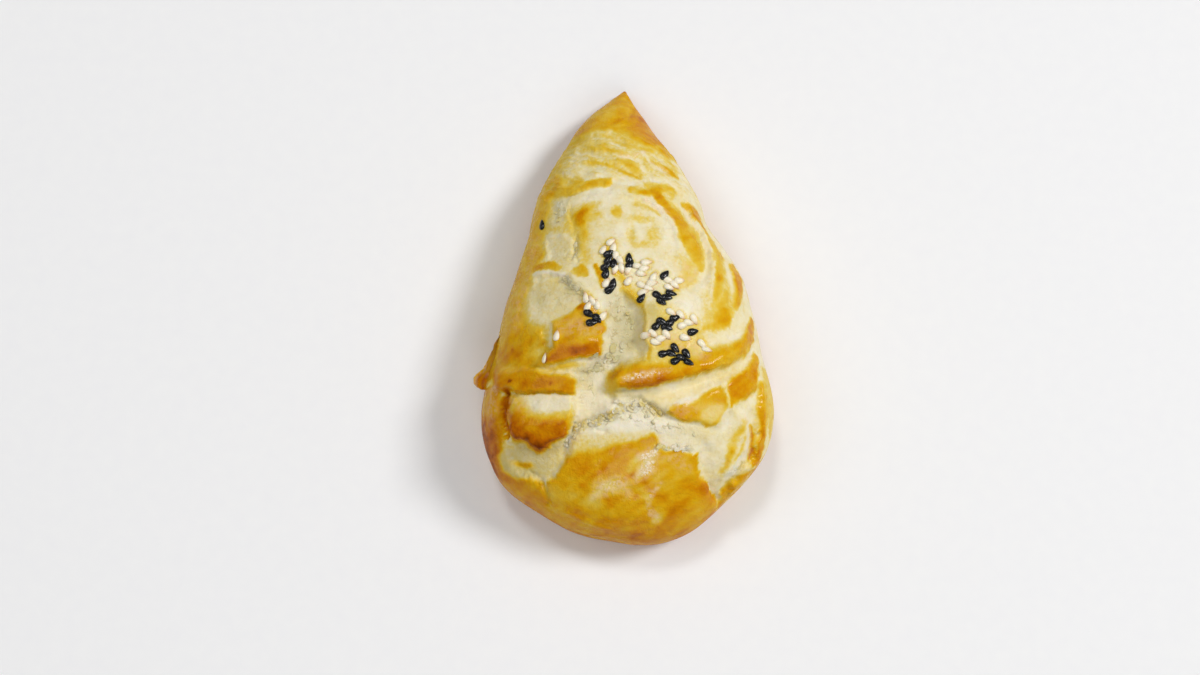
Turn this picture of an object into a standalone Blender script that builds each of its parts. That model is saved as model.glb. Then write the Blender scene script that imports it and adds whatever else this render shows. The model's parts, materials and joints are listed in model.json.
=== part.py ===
# Salmon samsa: one baked pasty of wound, layered dough with a pointed end, seeds baked on its top.
# Lengths in the tables are millimetres; the finished solid is in metres.
# The pointed end faces +Y, up is +Z, and the pasty rests on z = 0 about the origin.
import math
import random

import bmesh
import bpy
import numpy as np
from mathutils import Matrix, Vector, noise
from mathutils.bvhtree import BVHTree

MM = 0.001
GOLDEN_TURN = math.pi * (3.0 - math.sqrt(5.0))

# Mesh of the body: cells across, along and up before the base is cut
CELLS_ACROSS = 26
CELLS_ALONG = 46
CELLS_UP = 16
CROWD_TO_TOP = 0.22
CROWD_TO_ENDS = 0.35

# Cross-section shape: 2 is an ellipse, more is boxier
TOP_ROUND = 2.15
UNDER_ROUND = 2.7

# Stations from the blunt end to the pointed end, evenly spaced along the skin:
# y, left edge, right edge, height of the top, height of the widest level, depth below that level
STATIONS = (
    (-65.9, 5.5, 5.5, 10.0, 10.0, 0.0),
    (-64.8, -2.5, 12.5, 15.5, 10.0, 8.0),
    (-62.0, -14.5, 19.0, 20.0, 10.3, 14.0),
    (-57.0, -23.8, 25.2, 25.0, 10.8, 16.5),
    (-50.0, -32.6, 31.9, 29.5, 11.2, 17.5),
    (-42.0, -37.0, 38.3, 32.7, 11.6, 18.0),
    (-33.0, -38.4, 40.6, 35.5, 12.0, 18.0),
    (-23.0, -37.4, 39.9, 37.3, 12.0, 18.0),
    (-13.0, -34.8, 37.3, 38.0, 12.0, 18.0),
    (-3.0, -32.3, 35.6, 37.4, 11.8, 17.5),
    (6.0, -29.9, 33.2, 36.0, 11.3, 17.0),
    (14.0, -27.6, 28.9, 34.1, 10.7, 16.0),
    (21.5, -26.0, 23.9, 31.8, 10.0, 15.0),
    (29.0, -24.2, 21.5, 29.0, 9.2, 14.0),
    (37.0, -21.2, 17.9, 25.5, 8.3, 13.0),
    (46.0, -16.2, 12.6, 20.5, 7.0, 11.0),
    (56.0, -9.9, 6.0, 13.8, 5.0, 8.0),
    (66.2, 0.9, 0.9, 3.0, 3.0, 3.5),
)

# Raised and sunken fields of dough: height, softness of the edge, corners in plan
FIELDS = {
    "upper left flap": (2.6, 1.1, (
        (-19.0, -9.5), (-9.0, -8.5), (-5.5, -13.5), (-5.8, -19.7), (-20.4, -21.2),
        (-19.0, -14.0))),
    "middle left flap": (2.2, 1.1, (
        (-34.0, -20.5), (-22.0, -21.8), (-13.0, -24.6), (-12.7, -29.0), (-28.0, -27.3),
        (-34.0, -24.5))),
    "lower left flap": (3.2, 1.2, (
        (-30.0, -28.0), (-13.3, -29.0), (-14.0, -38.5), (-21.5, -43.0), (-25.0, -40.3),
        (-30.0, -38.5))),
    "sunken middle": (-2.4, 1.3, (
        (0.0, -3.5), (4.4, -7.0), (4.8, -19.5), (-3.0, -24.0), (-3.0, -32.0), (-14.0, -38.0),
        (-12.4, -27.0), (-9.0, -21.0), (-5.4, -19.5), (-5.4, -10.0))),
    "upper left window": (-0.9, 0.9, (
        (-21.0, 14.0), (-19.5, 25.5), (-13.5, 26.0), (-12.0, 8.0), (-17.0, 7.5))),
    "middle left window": (-1.1, 0.9, (
        (-25.0, 0.0), (-14.0, 1.5), (-11.0, -5.0), (-19.0, -11.0), (-26.0, -8.0))),
    "lower left window": (-2.4, 1.2, (
        (-30.5, -41.0), (-21.5, -44.5), (-15.3, -41.0), (-17.0, -49.0), (-22.0, -50.5),
        (-27.0, -47.5))),
    "seeded field": (0.8, 1.0, (
        (4.8, -4.0), (22.0, -5.0), (34.0, -9.0), (23.0, -20.0), (4.8, -22.0))),
}

# Fields that come up slowly: from the first level of y to the second
COMES_UP = {"upper left flap": (-6.0, -15.0), "lower left flap": (-24.0, -36.0)}

# Flat-topped bands: height, softness in half widths, then x, y and half width along the middle
BANDS = {
    "glazed ridge": (2.6, 0.4, (
        (-1.0, -25.4, 2.2), (6.0, -24.9, 3.0), (14.0, -24.0, 2.6), (23.0, -20.8, 2.4),
        (30.0, -16.5, 2.0), (33.5, -13.2, 1.2))),
    "pale valley": (-1.2, 0.5, (
        (-3.0, -30.0, 1.3), (6.0, -30.0, 1.9), (15.0, -28.8, 1.9), (23.0, -25.0, 1.7),
        (30.0, -21.0, 1.3), (34.0, -17.5, 0.9))),
    "lower right flap": (1.8, 0.4, (
        (12.0, -34.0, 1.6), (17.0, -33.6, 2.8), (22.0, -33.0, 4.3), (27.0, -28.8, 3.6),
        (33.0, -24.5, 3.0), (35.5, -20.5, 1.4))),
}

# Rounded creases (below 0) and rolls (above 0): height, then x, y and half width along the line
LINES = {
    "gap beside the lower left flap": (-2.4, (
        (-31.5, -26.5, 0.9), (-32.0, -30.0, 1.1), (-30.5, -39.0, 0.9))),
    "torn edge": (-1.4, (
        (-15.5, -45.0, 0.6), (-12.5, -38.0, 1.3), (-6.0, -36.5, 1.5), (0.5, -33.5, 1.3),
        (4.0, -33.0, 2.0), (10.5, -35.0, 0.8))),
    "lower right fold": (-1.0, (
        (18.5, -43.0, 0.9), (20.5, -50.0, 1.3), (25.0, -56.0, 0.9))),
    "rim crease": (-1.5, (
        (33.2, -33.0, 0.9), (34.0, -38.0, 1.1), (33.2, -43.0, 1.1), (27.0, -51.5, 0.9))),
    "outer rim roll": (1.3, (
        (36.5, -27.0, 1.4), (37.0, -36.0, 1.7), (36.0, -43.0, 1.6), (28.5, -52.5, 1.3))),
    "inner rim roll": (0.9, (
        (28.0, -34.0, 1.3), (31.0, -36.5, 1.4), (31.0, -41.0, 1.4), (25.5, -50.5, 1.1))),
    "inner winding crease": (-0.8, (
        (1.0, 25.5, 0.9), (7.0, 25.5, 1.0), (14.5, 15.0, 1.1), (16.0, 4.0, 0.8))),
    "winding roll": (0.8, (
        (3.0, 28.0, 1.3), (9.5, 28.0, 1.8), (17.0, 18.0, 2.0), (18.5, 5.0, 1.6))),
    "middle winding crease": (-0.9, (
        (13.5, 30.0, 0.8), (18.5, 20.0, 1.1), (21.6, 10.0, 1.1), (20.0, 2.5, 1.1),
        (16.0, -0.5, 0.9))),
    "outer winding crease": (-0.8, (
        (19.0, 24.0, 0.8), (24.2, 13.0, 1.1), (24.3, 6.0, 1.1), (22.8, -1.5, 0.9))),
    "right edge crease": (-0.7, (
        (28.0, 9.0, 0.8), (28.0, 3.0, 1.1), (26.6, -2.5, 0.9))),
    "first wrinkle": (-0.6, (
        (-13.0, 46.0, 0.8), (-5.0, 45.0, 1.0), (8.0, 40.5, 0.8))),
    "second wrinkle": (-0.6, (
        (-11.0, 41.0, 0.8), (3.0, 37.0, 1.0), (11.0, 35.0, 0.8))),
    "third wrinkle": (-0.6, (
        (-9.0, 36.0, 0.8), (-1.0, 34.5, 1.0), (4.5, 31.5, 0.9))),
    "left edge roll": (0.6, (
        (-22.5, 28.0, 1.4), (-28.5, 2.0, 1.9), (-31.0, -12.0, 1.7))),
}
SHARE_IN_HALF_WIDTH = 0.45

# Gentle unevenness of the whole crust
LUMP_LENGTH = 11.0
LUMP_HEIGHT = 0.45
LUMP_SEED = 5.0

# Relief fades out on skin that turns away from the top
FADE_FROM = 0.10
FADE_TO = 0.45

# Corners this near the resting level are brought onto it before the base is cut
NEAR_BASE = 0.3

# Lip: a thin flange of dough that stands out of the left side
LIP_PATH = (
    (-31.0, -19.5, 17.5), (-34.8, -20.2, 17.4), (-37.6, -21.3, 16.2), (-39.4, -22.5, 15.0),
    (-40.5, -23.4, 15.0))
LIP_WIDTHS = (10.0, 9.0, 6.0, 3.6, 2.2)
LIP_THICK = 1.5

# Seeds: length, breadth, thickness and how far the middle stands above the crust
SEED_LONG = 3.2
SEED_BROAD = 2.0
SEED_THICK = 1.2
SEED_RAISE = 0.22
SEED_TAPER = 0.30
SEED_SIDES = 5
SEED_RINGS = 4

# Drifts of seeds: x, y, half length, half breadth, direction in degrees and number of seeds
DARK_DRIFTS = (
    (-4.0, 5.2, 3.4, 1.2, 70, 5), (1.3, 5.5, 1.7, 0.4, 100, 2), (-3.3, -1.5, 1.2, 0.4, 75, 2),
    (10.5, 1.5, 0.0, 0.0, 50, 1), (4.5, -4.5, 0.0, 0.0, 50, 1), (9.8, -4.6, 2.9, 1.0, 0, 4),
    (10.8, -11.6, 3.0, 1.4, 10, 5), (17.5, -13.5, 0.0, 0.0, 12, 1),
    (13.3, -20.2, 4.4, 1.8, -15, 7), (-8.2, -10.0, 2.6, 1.5, -20, 3),
    (-22.0, 19.0, 0.0, 0.0, 96, 1))
PALE_DRIFTS = (
    (-4.0, 9.8, 3.2, 1.2, 65, 3), (-1.2, 4.2, 3.0, 1.6, -65, 5), (1.0, 0.0, 0.0, 0.0, 55, 1),
    (-4.7, -0.5, 0.0, 0.0, 60, 1), (4.4, 3.5, 2.0, 1.5, 0, 4), (7.5, 1.0, 0.0, 0.0, 60, 1),
    (5.3, -2.0, 2.2, 1.3, -10, 4), (12.2, -0.6, 2.4, 1.4, -20, 4),
    (15.4, -10.6, 3.8, 1.8, -25, 5), (8.4, -15.2, 3.2, 1.4, -10, 5),
    (15.5, -15.2, 0.0, 0.0, -10, 1), (20.5, -17.5, 1.7, 0.3, -45, 2),
    (-8.7, -6.0, 2.0, 1.4, 80, 4), (-5.6, -9.4, 0.0, 0.0, 50, 1), (-17.5, -14.5, 0.0, 0.0, 85, 1),
    (-20.5, -20.0, 0.0, 0.0, 90, 1))
DRIFT_SEED = 7
TURN_SPREAD = 45.0
SEED_GAP = 1.75
PUSH_ROUNDS = 30

CRUST_COLOUR = (0.72, 0.50, 0.17, 1.0)
CRUST_ROUGHNESS = 0.38

SCRAP_FACES = 200


# Empty file
def remove_objects():
    for thing in list(bpy.data.objects):
        bpy.data.objects.remove(thing, do_unlink=True)


# Smooth rise from 0 to 1
def smooth(low, high, value):
    t = np.clip((value - low) / (high - low), 0.0, 1.0)
    return t * t * (3.0 - 2.0 * t)


# Box of even cells turned into a ball
def ball():
    bm = bmesh.new()
    bmesh.ops.create_cube(bm, size=2.0)
    for axis, cells in ((0, CELLS_ACROSS), (1, CELLS_ALONG), (2, CELLS_UP)):
        along = [e for e in bm.edges if abs(e.verts[0].co[axis] - e.verts[1].co[axis]) > 1.0]
        bmesh.ops.subdivide_edges(bm, edges=along, cuts=cells - 1, use_grid_fill=True)
    for v in bm.verts:
        v.co = Vector([math.tan(c * math.pi / 4.0) for c in v.co]).normalized()
    return bm


# Station values at each place along the body, 0 at the blunt end and 1 at the point
def at_stations(place):
    rows = np.array(STATIONS)
    first = rows[1] * (1, 0, 0, 1, 1, 0) + rows[0] * 0.0
    first[1:3] = rows[1][2], rows[1][1]
    first[3] = 2.0 * rows[0][3] - rows[1][3]
    first[5] = -rows[1][5]
    rows = np.vstack([first, rows, 2.0 * rows[-1] - rows[-2]])
    spot = place * (len(STATIONS) - 1)
    i = np.clip(spot.astype(int), 0, len(STATIONS) - 2)
    t = (spot - i)[:, None]
    a, b, c, d = rows[i], rows[i + 1], rows[i + 2], rows[i + 3]
    return b + 0.5 * t * (c - a + t * (2 * a - 5 * b + 4 * c - d + t * (3 * (b - c) + d - a)))


# Points of the ball moved onto the body
def body_points(unit):
    turn = 2.0 * np.arcsin(np.clip(unit[:, 1], -1.0, 1.0)) / math.pi
    place = 0.5 + 0.5 * (turn + CROWD_TO_ENDS * turn * (1.0 - turn ** 2))
    y, left, right, top, wide, under = at_stations(place).T
    from_top = np.arctan2(np.abs(unit[:, 0]), unit[:, 2])
    from_top = from_top - CROWD_TO_TOP * np.sin(from_top)
    upper = from_top < math.pi / 2.0
    power = 2.0 / np.where(upper, TOP_ROUND, UNDER_ROUND)
    out = np.sin(from_top).clip(0.0) ** power * np.sign(unit[:, 0])
    up = np.abs(np.cos(from_top)) ** power
    x = (left + right) / 2.0 + (right - left) / 2.0 * out
    z = wide + np.where(upper, top - wide, -under) * up
    return np.column_stack([x, y, z])


# Signed distance in plan to an outline, below 0 inside
def to_outline(xy, outline):
    corners = np.array(outline, float)
    nearest = np.full(len(xy), 1e9)
    inside = np.zeros(len(xy), bool)
    for a, b in zip(corners, np.roll(corners, -1, axis=0)):
        side = b - a
        t = np.clip((xy - a) @ side / (side @ side), 0.0, 1.0)
        nearest = np.minimum(nearest, np.linalg.norm(xy - a - t[:, None] * side, axis=1))
        crosses = (a[1] > xy[:, 1]) != (b[1] > xy[:, 1])
        rise = side[1] if abs(side[1]) > 1e-9 else 1e-9
        inside ^= crosses & (xy[:, 0] < a[0] + (xy[:, 1] - a[1]) * side[0] / rise)
    return np.where(inside, -nearest, nearest)


# Distance in plan to a line, in half widths of the line
def to_line(xy, line):
    spots = np.array(line, float)
    nearest = np.full(len(xy), 1e9)
    for a, b in zip(spots[:-1], spots[1:]):
        side = b[:2] - a[:2]
        t = np.clip((xy - a[:2]) @ side / (side @ side), 0.0, 1.0)
        gap = np.linalg.norm(xy - a[:2] - t[:, None] * side, axis=1)
        nearest = np.minimum(nearest, gap / (a[2] + t * (b[2] - a[2])))
    return nearest


# Height of the relief over the smooth body
def relief(xy):
    height = np.zeros(len(xy))
    for name, (rise, edge, corners) in FIELDS.items():
        share = smooth(edge, -edge, to_outline(xy, corners))
        if name in COMES_UP:
            share = share * smooth(*COMES_UP[name], xy[:, 1])
        height += rise * share
    for rise, edge, line in BANDS.values():
        height += rise * smooth(1.0 + edge, 1.0 - edge, to_line(xy, line))
    for rise, line in LINES.values():
        height += rise * np.exp(-SHARE_IN_HALF_WIDTH * to_line(xy, line) ** 2)
    return height


# Slow unevenness at each point
def lumps(points):
    offset = Vector((LUMP_SEED, LUMP_SEED, LUMP_SEED))
    return np.array([noise.noise(Vector(p) / LUMP_LENGTH + offset) for p in points])


# Body: ball onto the stations, relief pushed out along the skin, base cut flat
def make_body():
    bm = ball()
    unit = np.array([v.co for v in bm.verts])
    points = body_points(unit)
    for v, p in zip(bm.verts, points):
        v.co = p
    bm.normal_update()
    outward = np.array([v.normal for v in bm.verts])
    upward = smooth(FADE_FROM, FADE_TO, outward[:, 2])
    push = relief(points[:, :2]) * upward + LUMP_HEIGHT * lumps(points)
    for v, p in zip(bm.verts, points + outward * push[:, None]):
        v.co = p * MM
    cut_base(bm)
    return bm


# Flat base: everything below z = 0 is cut away and the opening closed by one face
def cut_base(bm):
    for v in bm.verts:
        if abs(v.co.z) < NEAR_BASE * MM:
            v.co.z = 0.0
    parts = bm.verts[:] + bm.edges[:] + bm.faces[:]
    bmesh.ops.bisect_plane(bm, geom=parts, dist=0.000001, plane_co=(0, 0, 0),
                           plane_no=(0, 0, -1), clear_outer=True)
    rim = [e for e in bm.edges if e.is_boundary]
    base = bmesh.ops.contextual_create(bm, geom=rim)["faces"]
    bmesh.ops.recalc_face_normals(bm, faces=bm.faces[:])
    rest = [f for f in bm.faces if f not in base]
    bmesh.ops.triangulate(bm, faces=rest, quad_method="SHORT_EDGE")


# Object with the finished mesh
def add_object(name, bm):
    mesh = bpy.data.meshes.new(name)
    bm.to_mesh(mesh)
    bm.free()
    thing = bpy.data.objects.new(name, mesh)
    bpy.context.scene.collection.objects.link(thing)
    return thing


# Lip: a thin bent slab, wide where it leaves the side and narrow at its end
def make_lip():
    bm = bmesh.new()
    bmesh.ops.create_cube(bm, size=1.0)
    steps = len(LIP_PATH) - 1
    along = [e for e in bm.edges if abs(e.verts[0].co.x - e.verts[1].co.x) > 0.5]
    bmesh.ops.subdivide_edges(bm, edges=along, cuts=steps - 1, use_grid_fill=True)
    across = [e for e in bm.edges if abs(e.verts[0].co.y - e.verts[1].co.y) > 0.5]
    bmesh.ops.subdivide_edges(bm, edges=across, cuts=3, use_grid_fill=True)
    for v in bm.verts:
        i = round((v.co.x + 0.5) * steps)
        x, y, z = LIP_PATH[i]
        wide = v.co.y * LIP_WIDTHS[i]
        thin = 1.0 - 1.2 * v.co.y ** 2
        v.co = Vector((x, y + wide, z + v.co.z * LIP_THICK * thin)) * MM
    bmesh.ops.recalc_face_normals(bm, faces=bm.faces[:])
    return add_object("lip", bm)


# One seed lying at the origin, its narrow end towards +X
def seed_mesh():
    bm = bmesh.new()
    bmesh.ops.create_uvsphere(bm, u_segments=SEED_SIDES, v_segments=SEED_RINGS, radius=0.5)
    bmesh.ops.rotate(bm, verts=bm.verts, matrix=Matrix.Rotation(math.pi / 2.0, 3, "Y"))
    for v in bm.verts:
        narrow = 1.0 - 2.0 * SEED_TAPER * v.co.x
        v.co = Vector((v.co.x * SEED_LONG, v.co.y * SEED_BROAD * narrow,
                       v.co.z * SEED_THICK * narrow)) * MM
    mesh = bpy.data.meshes.new("seed")
    bm.to_mesh(mesh)
    bm.free()
    return mesh


# Places and turns of the seeds: each drift filled evenly, then neighbours pushed apart
def seed_places():
    draw = random.Random(DRIFT_SEED)
    spots = []
    for x, y, long, broad, way, count in DARK_DRIFTS + PALE_DRIFTS:
        lie = math.radians(way)
        for i in range(count):
            out = math.sqrt((i + 0.5) / count)
            swing = i * GOLDEN_TURN
            a = long * out * math.cos(swing)
            b = broad * out * math.sin(swing)
            turn = way + (draw.uniform(-TURN_SPREAD, TURN_SPREAD) if count > 1 else 0.0)
            spots.append([x + a * math.cos(lie) - b * math.sin(lie),
                          y + a * math.sin(lie) + b * math.cos(lie), turn])
    spots = np.array(spots)
    for _ in range(PUSH_ROUNDS):
        apart = spots[:, None, :2] - spots[None, :, :2]
        gap = np.linalg.norm(apart, axis=2) + np.eye(len(spots)) * SEED_GAP
        lack = np.clip(SEED_GAP - gap, 0.0, None) / (gap + 0.01)
        spots[:, :2] += 0.3 * (apart * lack[:, :, None]).sum(axis=1)
    return spots


# Seeds laid on the crust, turned as they lie and leaning with it
def lay_seeds(surface, collection):
    mesh = seed_mesh()
    skin = BVHTree.FromBMesh(surface)
    for x, y, turn in seed_places():
        above = Vector((x * MM, y * MM, 0.1))
        spot, normal, _, _ = skin.ray_cast(above, Vector((0, 0, -1)))
        long = Vector((math.cos(math.radians(turn)), math.sin(math.radians(turn)), 0))
        across = normal.cross(long).normalized()
        long = across.cross(normal)
        place = Matrix((long, across, normal)).transposed().to_4x4()
        place.translation = spot + normal * SEED_RAISE * MM
        seed = bpy.data.objects.new("seed", mesh.copy())
        seed.data.transform(place)
        collection.objects.link(seed)


# Seeds and lip fused to the body, then removed
def fuse(body, collection):
    fusing = body.modifiers.new("fuse", "BOOLEAN")
    fusing.operation = "UNION"
    fusing.operand_type = "COLLECTION"
    fusing.collection = collection
    fusing.solver = "EXACT"
    bpy.context.view_layer.update()
    whole = body.evaluated_get(bpy.context.evaluated_depsgraph_get())
    fused = bpy.data.meshes.new_from_object(whole)
    body.modifiers.remove(fusing)
    body.data = fused
    for thing in list(collection.objects):
        bpy.data.objects.remove(thing, do_unlink=True)
    bpy.data.collections.remove(collection)


# Faces of one connected piece
def piece_of(face, seen):
    piece = []
    waiting = [face]
    while waiting:
        face = waiting.pop()
        if face in seen:
            continue
        seen.add(face)
        piece.append(face)
        waiting.extend(f for e in face.edges for f in e.link_faces if f not in seen)
    return piece


# Loose scrap and sealed hollows dropped, the solid centred over the origin
def tidy(body):
    bm = bmesh.new()
    bm.from_mesh(body.data)
    seen = set()
    pieces = [piece_of(face, seen) for face in bm.faces if face not in seen]
    scrap = [face for piece in pieces if len(piece) < SCRAP_FACES for face in piece]
    bmesh.ops.delete(bm, geom=scrap, context="FACES")
    spots = np.array([v.co for v in bm.verts])
    middle = (spots.min(axis=0) + spots.max(axis=0)) / 2.0
    bmesh.ops.translate(bm, verts=bm.verts, vec=(-middle[0], -middle[1], 0.0))
    for face in bm.faces:
        face.smooth = len(face.verts) < 5
    bm.to_mesh(body.data)
    bm.free()


# Baked crust material
def crust_material():
    material = bpy.data.materials.new("baked crust")
    material.use_nodes = True
    shader = material.node_tree.nodes["Principled BSDF"]
    shader.inputs["Base Color"].default_value = CRUST_COLOUR
    shader.inputs["Roughness"].default_value = CRUST_ROUGHNESS
    shader.inputs["Metallic"].default_value = 0.0
    return material


def build():
    remove_objects()
    surface = make_body()
    toppings = bpy.data.collections.new("toppings")
    bpy.context.scene.collection.children.link(toppings)
    lay_seeds(surface, toppings)
    samsa = add_object("samsa", surface)
    lip = make_lip()
    toppings.objects.link(lip)
    bpy.context.scene.collection.objects.unlink(lip)
    fuse(samsa, toppings)
    tidy(samsa)
    samsa.data.materials.clear()
    samsa.data.materials.append(crust_material())


build()
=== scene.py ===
# %% [markdown]
# # A baked samsa, dressed for its picture
# The solid of this pasty has the true form in some eleven thousand triangles. This lesson dresses
# it: it builds the same body again with much finer cells, works folds, torn layers, blisters and
# the low waves of the sides into the skin, paints where the egg wash browned, lays the sesame
# seeds, and strews crumbs and thin flakes where the dough tore.
# All tables are in millimetres, seen from above with the pointed end up the page.

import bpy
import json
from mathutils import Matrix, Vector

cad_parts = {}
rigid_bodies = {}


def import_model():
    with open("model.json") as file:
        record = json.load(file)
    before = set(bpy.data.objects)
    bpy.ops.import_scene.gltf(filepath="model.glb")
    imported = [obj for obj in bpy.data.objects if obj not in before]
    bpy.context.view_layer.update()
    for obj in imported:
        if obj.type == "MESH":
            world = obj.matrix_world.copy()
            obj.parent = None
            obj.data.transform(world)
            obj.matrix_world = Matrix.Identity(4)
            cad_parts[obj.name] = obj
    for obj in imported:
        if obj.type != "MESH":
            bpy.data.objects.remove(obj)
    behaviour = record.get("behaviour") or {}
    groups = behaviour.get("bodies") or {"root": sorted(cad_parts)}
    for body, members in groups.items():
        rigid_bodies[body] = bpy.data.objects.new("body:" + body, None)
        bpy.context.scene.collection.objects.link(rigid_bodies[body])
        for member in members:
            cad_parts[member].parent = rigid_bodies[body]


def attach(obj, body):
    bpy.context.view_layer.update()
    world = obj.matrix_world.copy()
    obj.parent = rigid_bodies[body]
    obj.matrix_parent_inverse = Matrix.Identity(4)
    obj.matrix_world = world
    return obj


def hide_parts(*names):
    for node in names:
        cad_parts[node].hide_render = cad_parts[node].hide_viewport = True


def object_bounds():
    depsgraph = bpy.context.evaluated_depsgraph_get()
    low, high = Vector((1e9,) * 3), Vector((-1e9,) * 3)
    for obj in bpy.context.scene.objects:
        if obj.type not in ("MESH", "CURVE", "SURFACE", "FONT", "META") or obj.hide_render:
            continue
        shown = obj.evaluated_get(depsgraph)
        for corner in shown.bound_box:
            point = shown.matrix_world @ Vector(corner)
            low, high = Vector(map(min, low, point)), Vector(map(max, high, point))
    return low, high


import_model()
cad_low, cad_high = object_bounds()
print("CAD box in mm:", [round(v * 1000, 2) for v in (*cad_low, *cad_high)])

# %% Modules and units
import json
import math
import random

import bmesh
import bpy
import numpy as np
from mathutils import Matrix, Vector, noise
from mathutils.bvhtree import BVHTree

MM = 0.001
GOLDEN_TURN = math.pi * (3.0 - math.sqrt(5.0))
# The finished solid was centred over the origin, which moved it by this much
CENTRING = np.array((0.125, 0.222, 0.0))

# %% [markdown]
# ## Camera
# The pasty is seen almost from straight above, 12.5 degrees over towards its blunt end. The camera
# stands 400 mm off, and its lens takes in about a third of a metre of table there.

# %% Camera
CAMERA_TILT = math.radians(12.5)
CAMERA_AWAY = 0.4
LENS = 42.24
SENSOR = 36.0
AIM = (Vector((-6.4, -6.9, 0.0)) - Vector(CENTRING)) * MM


def make_camera():
    lens = bpy.data.cameras.new("camera")
    lens.lens = LENS
    lens.sensor_width = SENSOR
    camera = bpy.data.objects.new("camera", lens)
    away = Vector((0.0, -math.sin(CAMERA_TILT), math.cos(CAMERA_TILT)))
    camera.location = AIM + away * CAMERA_AWAY
    camera.rotation_euler = (CAMERA_TILT, 0.0, 0.0)
    bpy.context.scene.collection.objects.link(camera)
    bpy.context.scene.camera = camera
    return camera


camera = make_camera()
print("camera stands", round(camera.location.z * 1000), "mm above the table")

# %% [markdown]
# ## Body of dough
# The body is a lofted form: a row of cross-sections, each given by its edges, its top and its
# widest level. A box whose faces are cut into even cells is blown up into a ball and then moved
# onto the sections. Such a ball has no crowded pole on top, which a lathe-like sphere would have,
# so every part of the skin gets cells of about the same size. Most cells go to the upper side.

# %% Ball of cells
CELLS_ACROSS = 120
CELLS_ALONG = 230
CELLS_ABOVE = 58
CELLS_BELOW = 22


def box_of_cells(size, counts):
    """A box around the origin, cut into a number of cells along each axis."""
    bm = bmesh.new()
    bmesh.ops.create_cube(bm, size=size)
    for axis, cells in enumerate(counts):
        ends = [(e, e.verts[0].co[axis] - e.verts[1].co[axis]) for e in bm.edges]
        along = [e for e, length in ends if abs(length) > size / 2.0]
        bmesh.ops.subdivide_edges(bm, edges=along, cuts=cells - 1, use_grid_fill=True)
    return bm


def fine_ball():
    """A ball of radius 1 whose cells are of about one size, with more of them on the upper side."""
    levels = CELLS_ABOVE + CELLS_BELOW
    bm = box_of_cells(2.0, (CELLS_ACROSS, CELLS_ALONG, levels))
    middle = 2.0 * CELLS_BELOW / levels - 1.0
    for v in bm.verts:
        step = v.co.z - middle
        v.co.z = step / (1.0 - middle) if step > 0.0 else step / (1.0 + middle)
        v.co = Vector([math.tan(c * math.pi / 4.0) for c in v.co]).normalized()
    return bm


# %% Cross-sections
CROWD_TO_TOP = 0.22
CROWD_TO_ENDS = 0.35
TOP_ROUND = 2.15
UNDER_ROUND = 2.7
# y, left edge, right edge, height of the top, height of the widest level, depth below that level
STATIONS = (
    (-65.9, 5.5, 5.5, 10.0, 10.0, 0.0),
    (-64.8, -2.5, 12.5, 15.5, 10.0, 8.0),
    (-62.0, -14.5, 19.0, 20.0, 10.3, 14.0),
    (-57.0, -23.8, 25.2, 25.0, 10.8, 16.5),
    (-50.0, -32.6, 31.9, 29.5, 11.2, 17.5),
    (-42.0, -37.0, 38.3, 32.7, 11.6, 18.0),
    (-33.0, -38.4, 40.6, 35.5, 12.0, 18.0),
    (-23.0, -37.4, 39.9, 37.3, 12.0, 18.0),
    (-13.0, -34.8, 37.3, 38.0, 12.0, 18.0),
    (-3.0, -32.3, 35.6, 37.4, 11.8, 17.5),
    (6.0, -29.9, 33.2, 36.0, 11.3, 17.0),
    (14.0, -27.6, 28.9, 34.1, 10.7, 16.0),
    (21.5, -26.0, 23.9, 31.8, 10.0, 15.0),
    (29.0, -24.2, 21.5, 29.0, 9.2, 14.0),
    (37.0, -21.2, 17.9, 25.5, 8.3, 13.0),
    (46.0, -16.2, 12.6, 20.5, 7.0, 11.0),
    (56.0, -9.9, 6.0, 13.8, 5.0, 8.0),
    (66.2, 0.9, 0.9, 3.0, 3.0, 3.5),
)


def at_stations(place):
    """Values of the stations at each place along the body, on a smooth curve through them."""
    rows = np.array(STATIONS)
    # Round the blunt end the left and right edges change places, so the outline closes smoothly
    y, left, right, top, wide, under = rows[1]
    before = (y, right, left, 2.0 * rows[0][3] - top, wide, -under)
    rows = np.vstack([before, rows, 2.0 * rows[-1] - rows[-2]])
    spot = place * (len(STATIONS) - 1)
    i = np.clip(spot.astype(int), 0, len(STATIONS) - 2)
    t = (spot - i)[:, None]
    a, b, c, d = rows[i], rows[i + 1], rows[i + 2], rows[i + 3]
    return b + 0.5 * t * (c - a + t * (2 * a - 5 * b + 4 * c - d + t * (3 * (b - c) + d - a)))


def body_points(unit):
    """Points of the ball moved onto the body."""
    turn = 2.0 * np.arcsin(np.clip(unit[:, 1], -1.0, 1.0)) / math.pi
    place = 0.5 + 0.5 * (turn + CROWD_TO_ENDS * turn * (1.0 - turn ** 2))
    y, left, right, top, wide, under = at_stations(place).T
    from_top = np.arctan2(np.abs(unit[:, 0]), unit[:, 2])
    from_top = from_top - CROWD_TO_TOP * np.sin(from_top)
    upper = from_top < math.pi / 2.0
    power = 2.0 / np.where(upper, TOP_ROUND, UNDER_ROUND)
    out = np.sin(from_top).clip(0.0) ** power * np.sign(unit[:, 0])
    up = np.abs(np.cos(from_top)) ** power
    x = (left + right) / 2.0 + (right - left) / 2.0 * out
    z = wide + np.where(upper, top - wide, -under) * up
    return np.column_stack([x, y, z])


def move_to(bm, points):
    for v, p in zip(bm.verts, points):
        v.co = p


crust_bm = fine_ball()
smooth_body = body_points(np.array([v.co for v in crust_bm.verts]))
move_to(crust_bm, smooth_body)
crust_bm.normal_update()
outward = np.array([v.normal for v in crust_bm.verts])
plan = smooth_body[:, :2]
print("smooth body:", len(smooth_body), "points")

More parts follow.
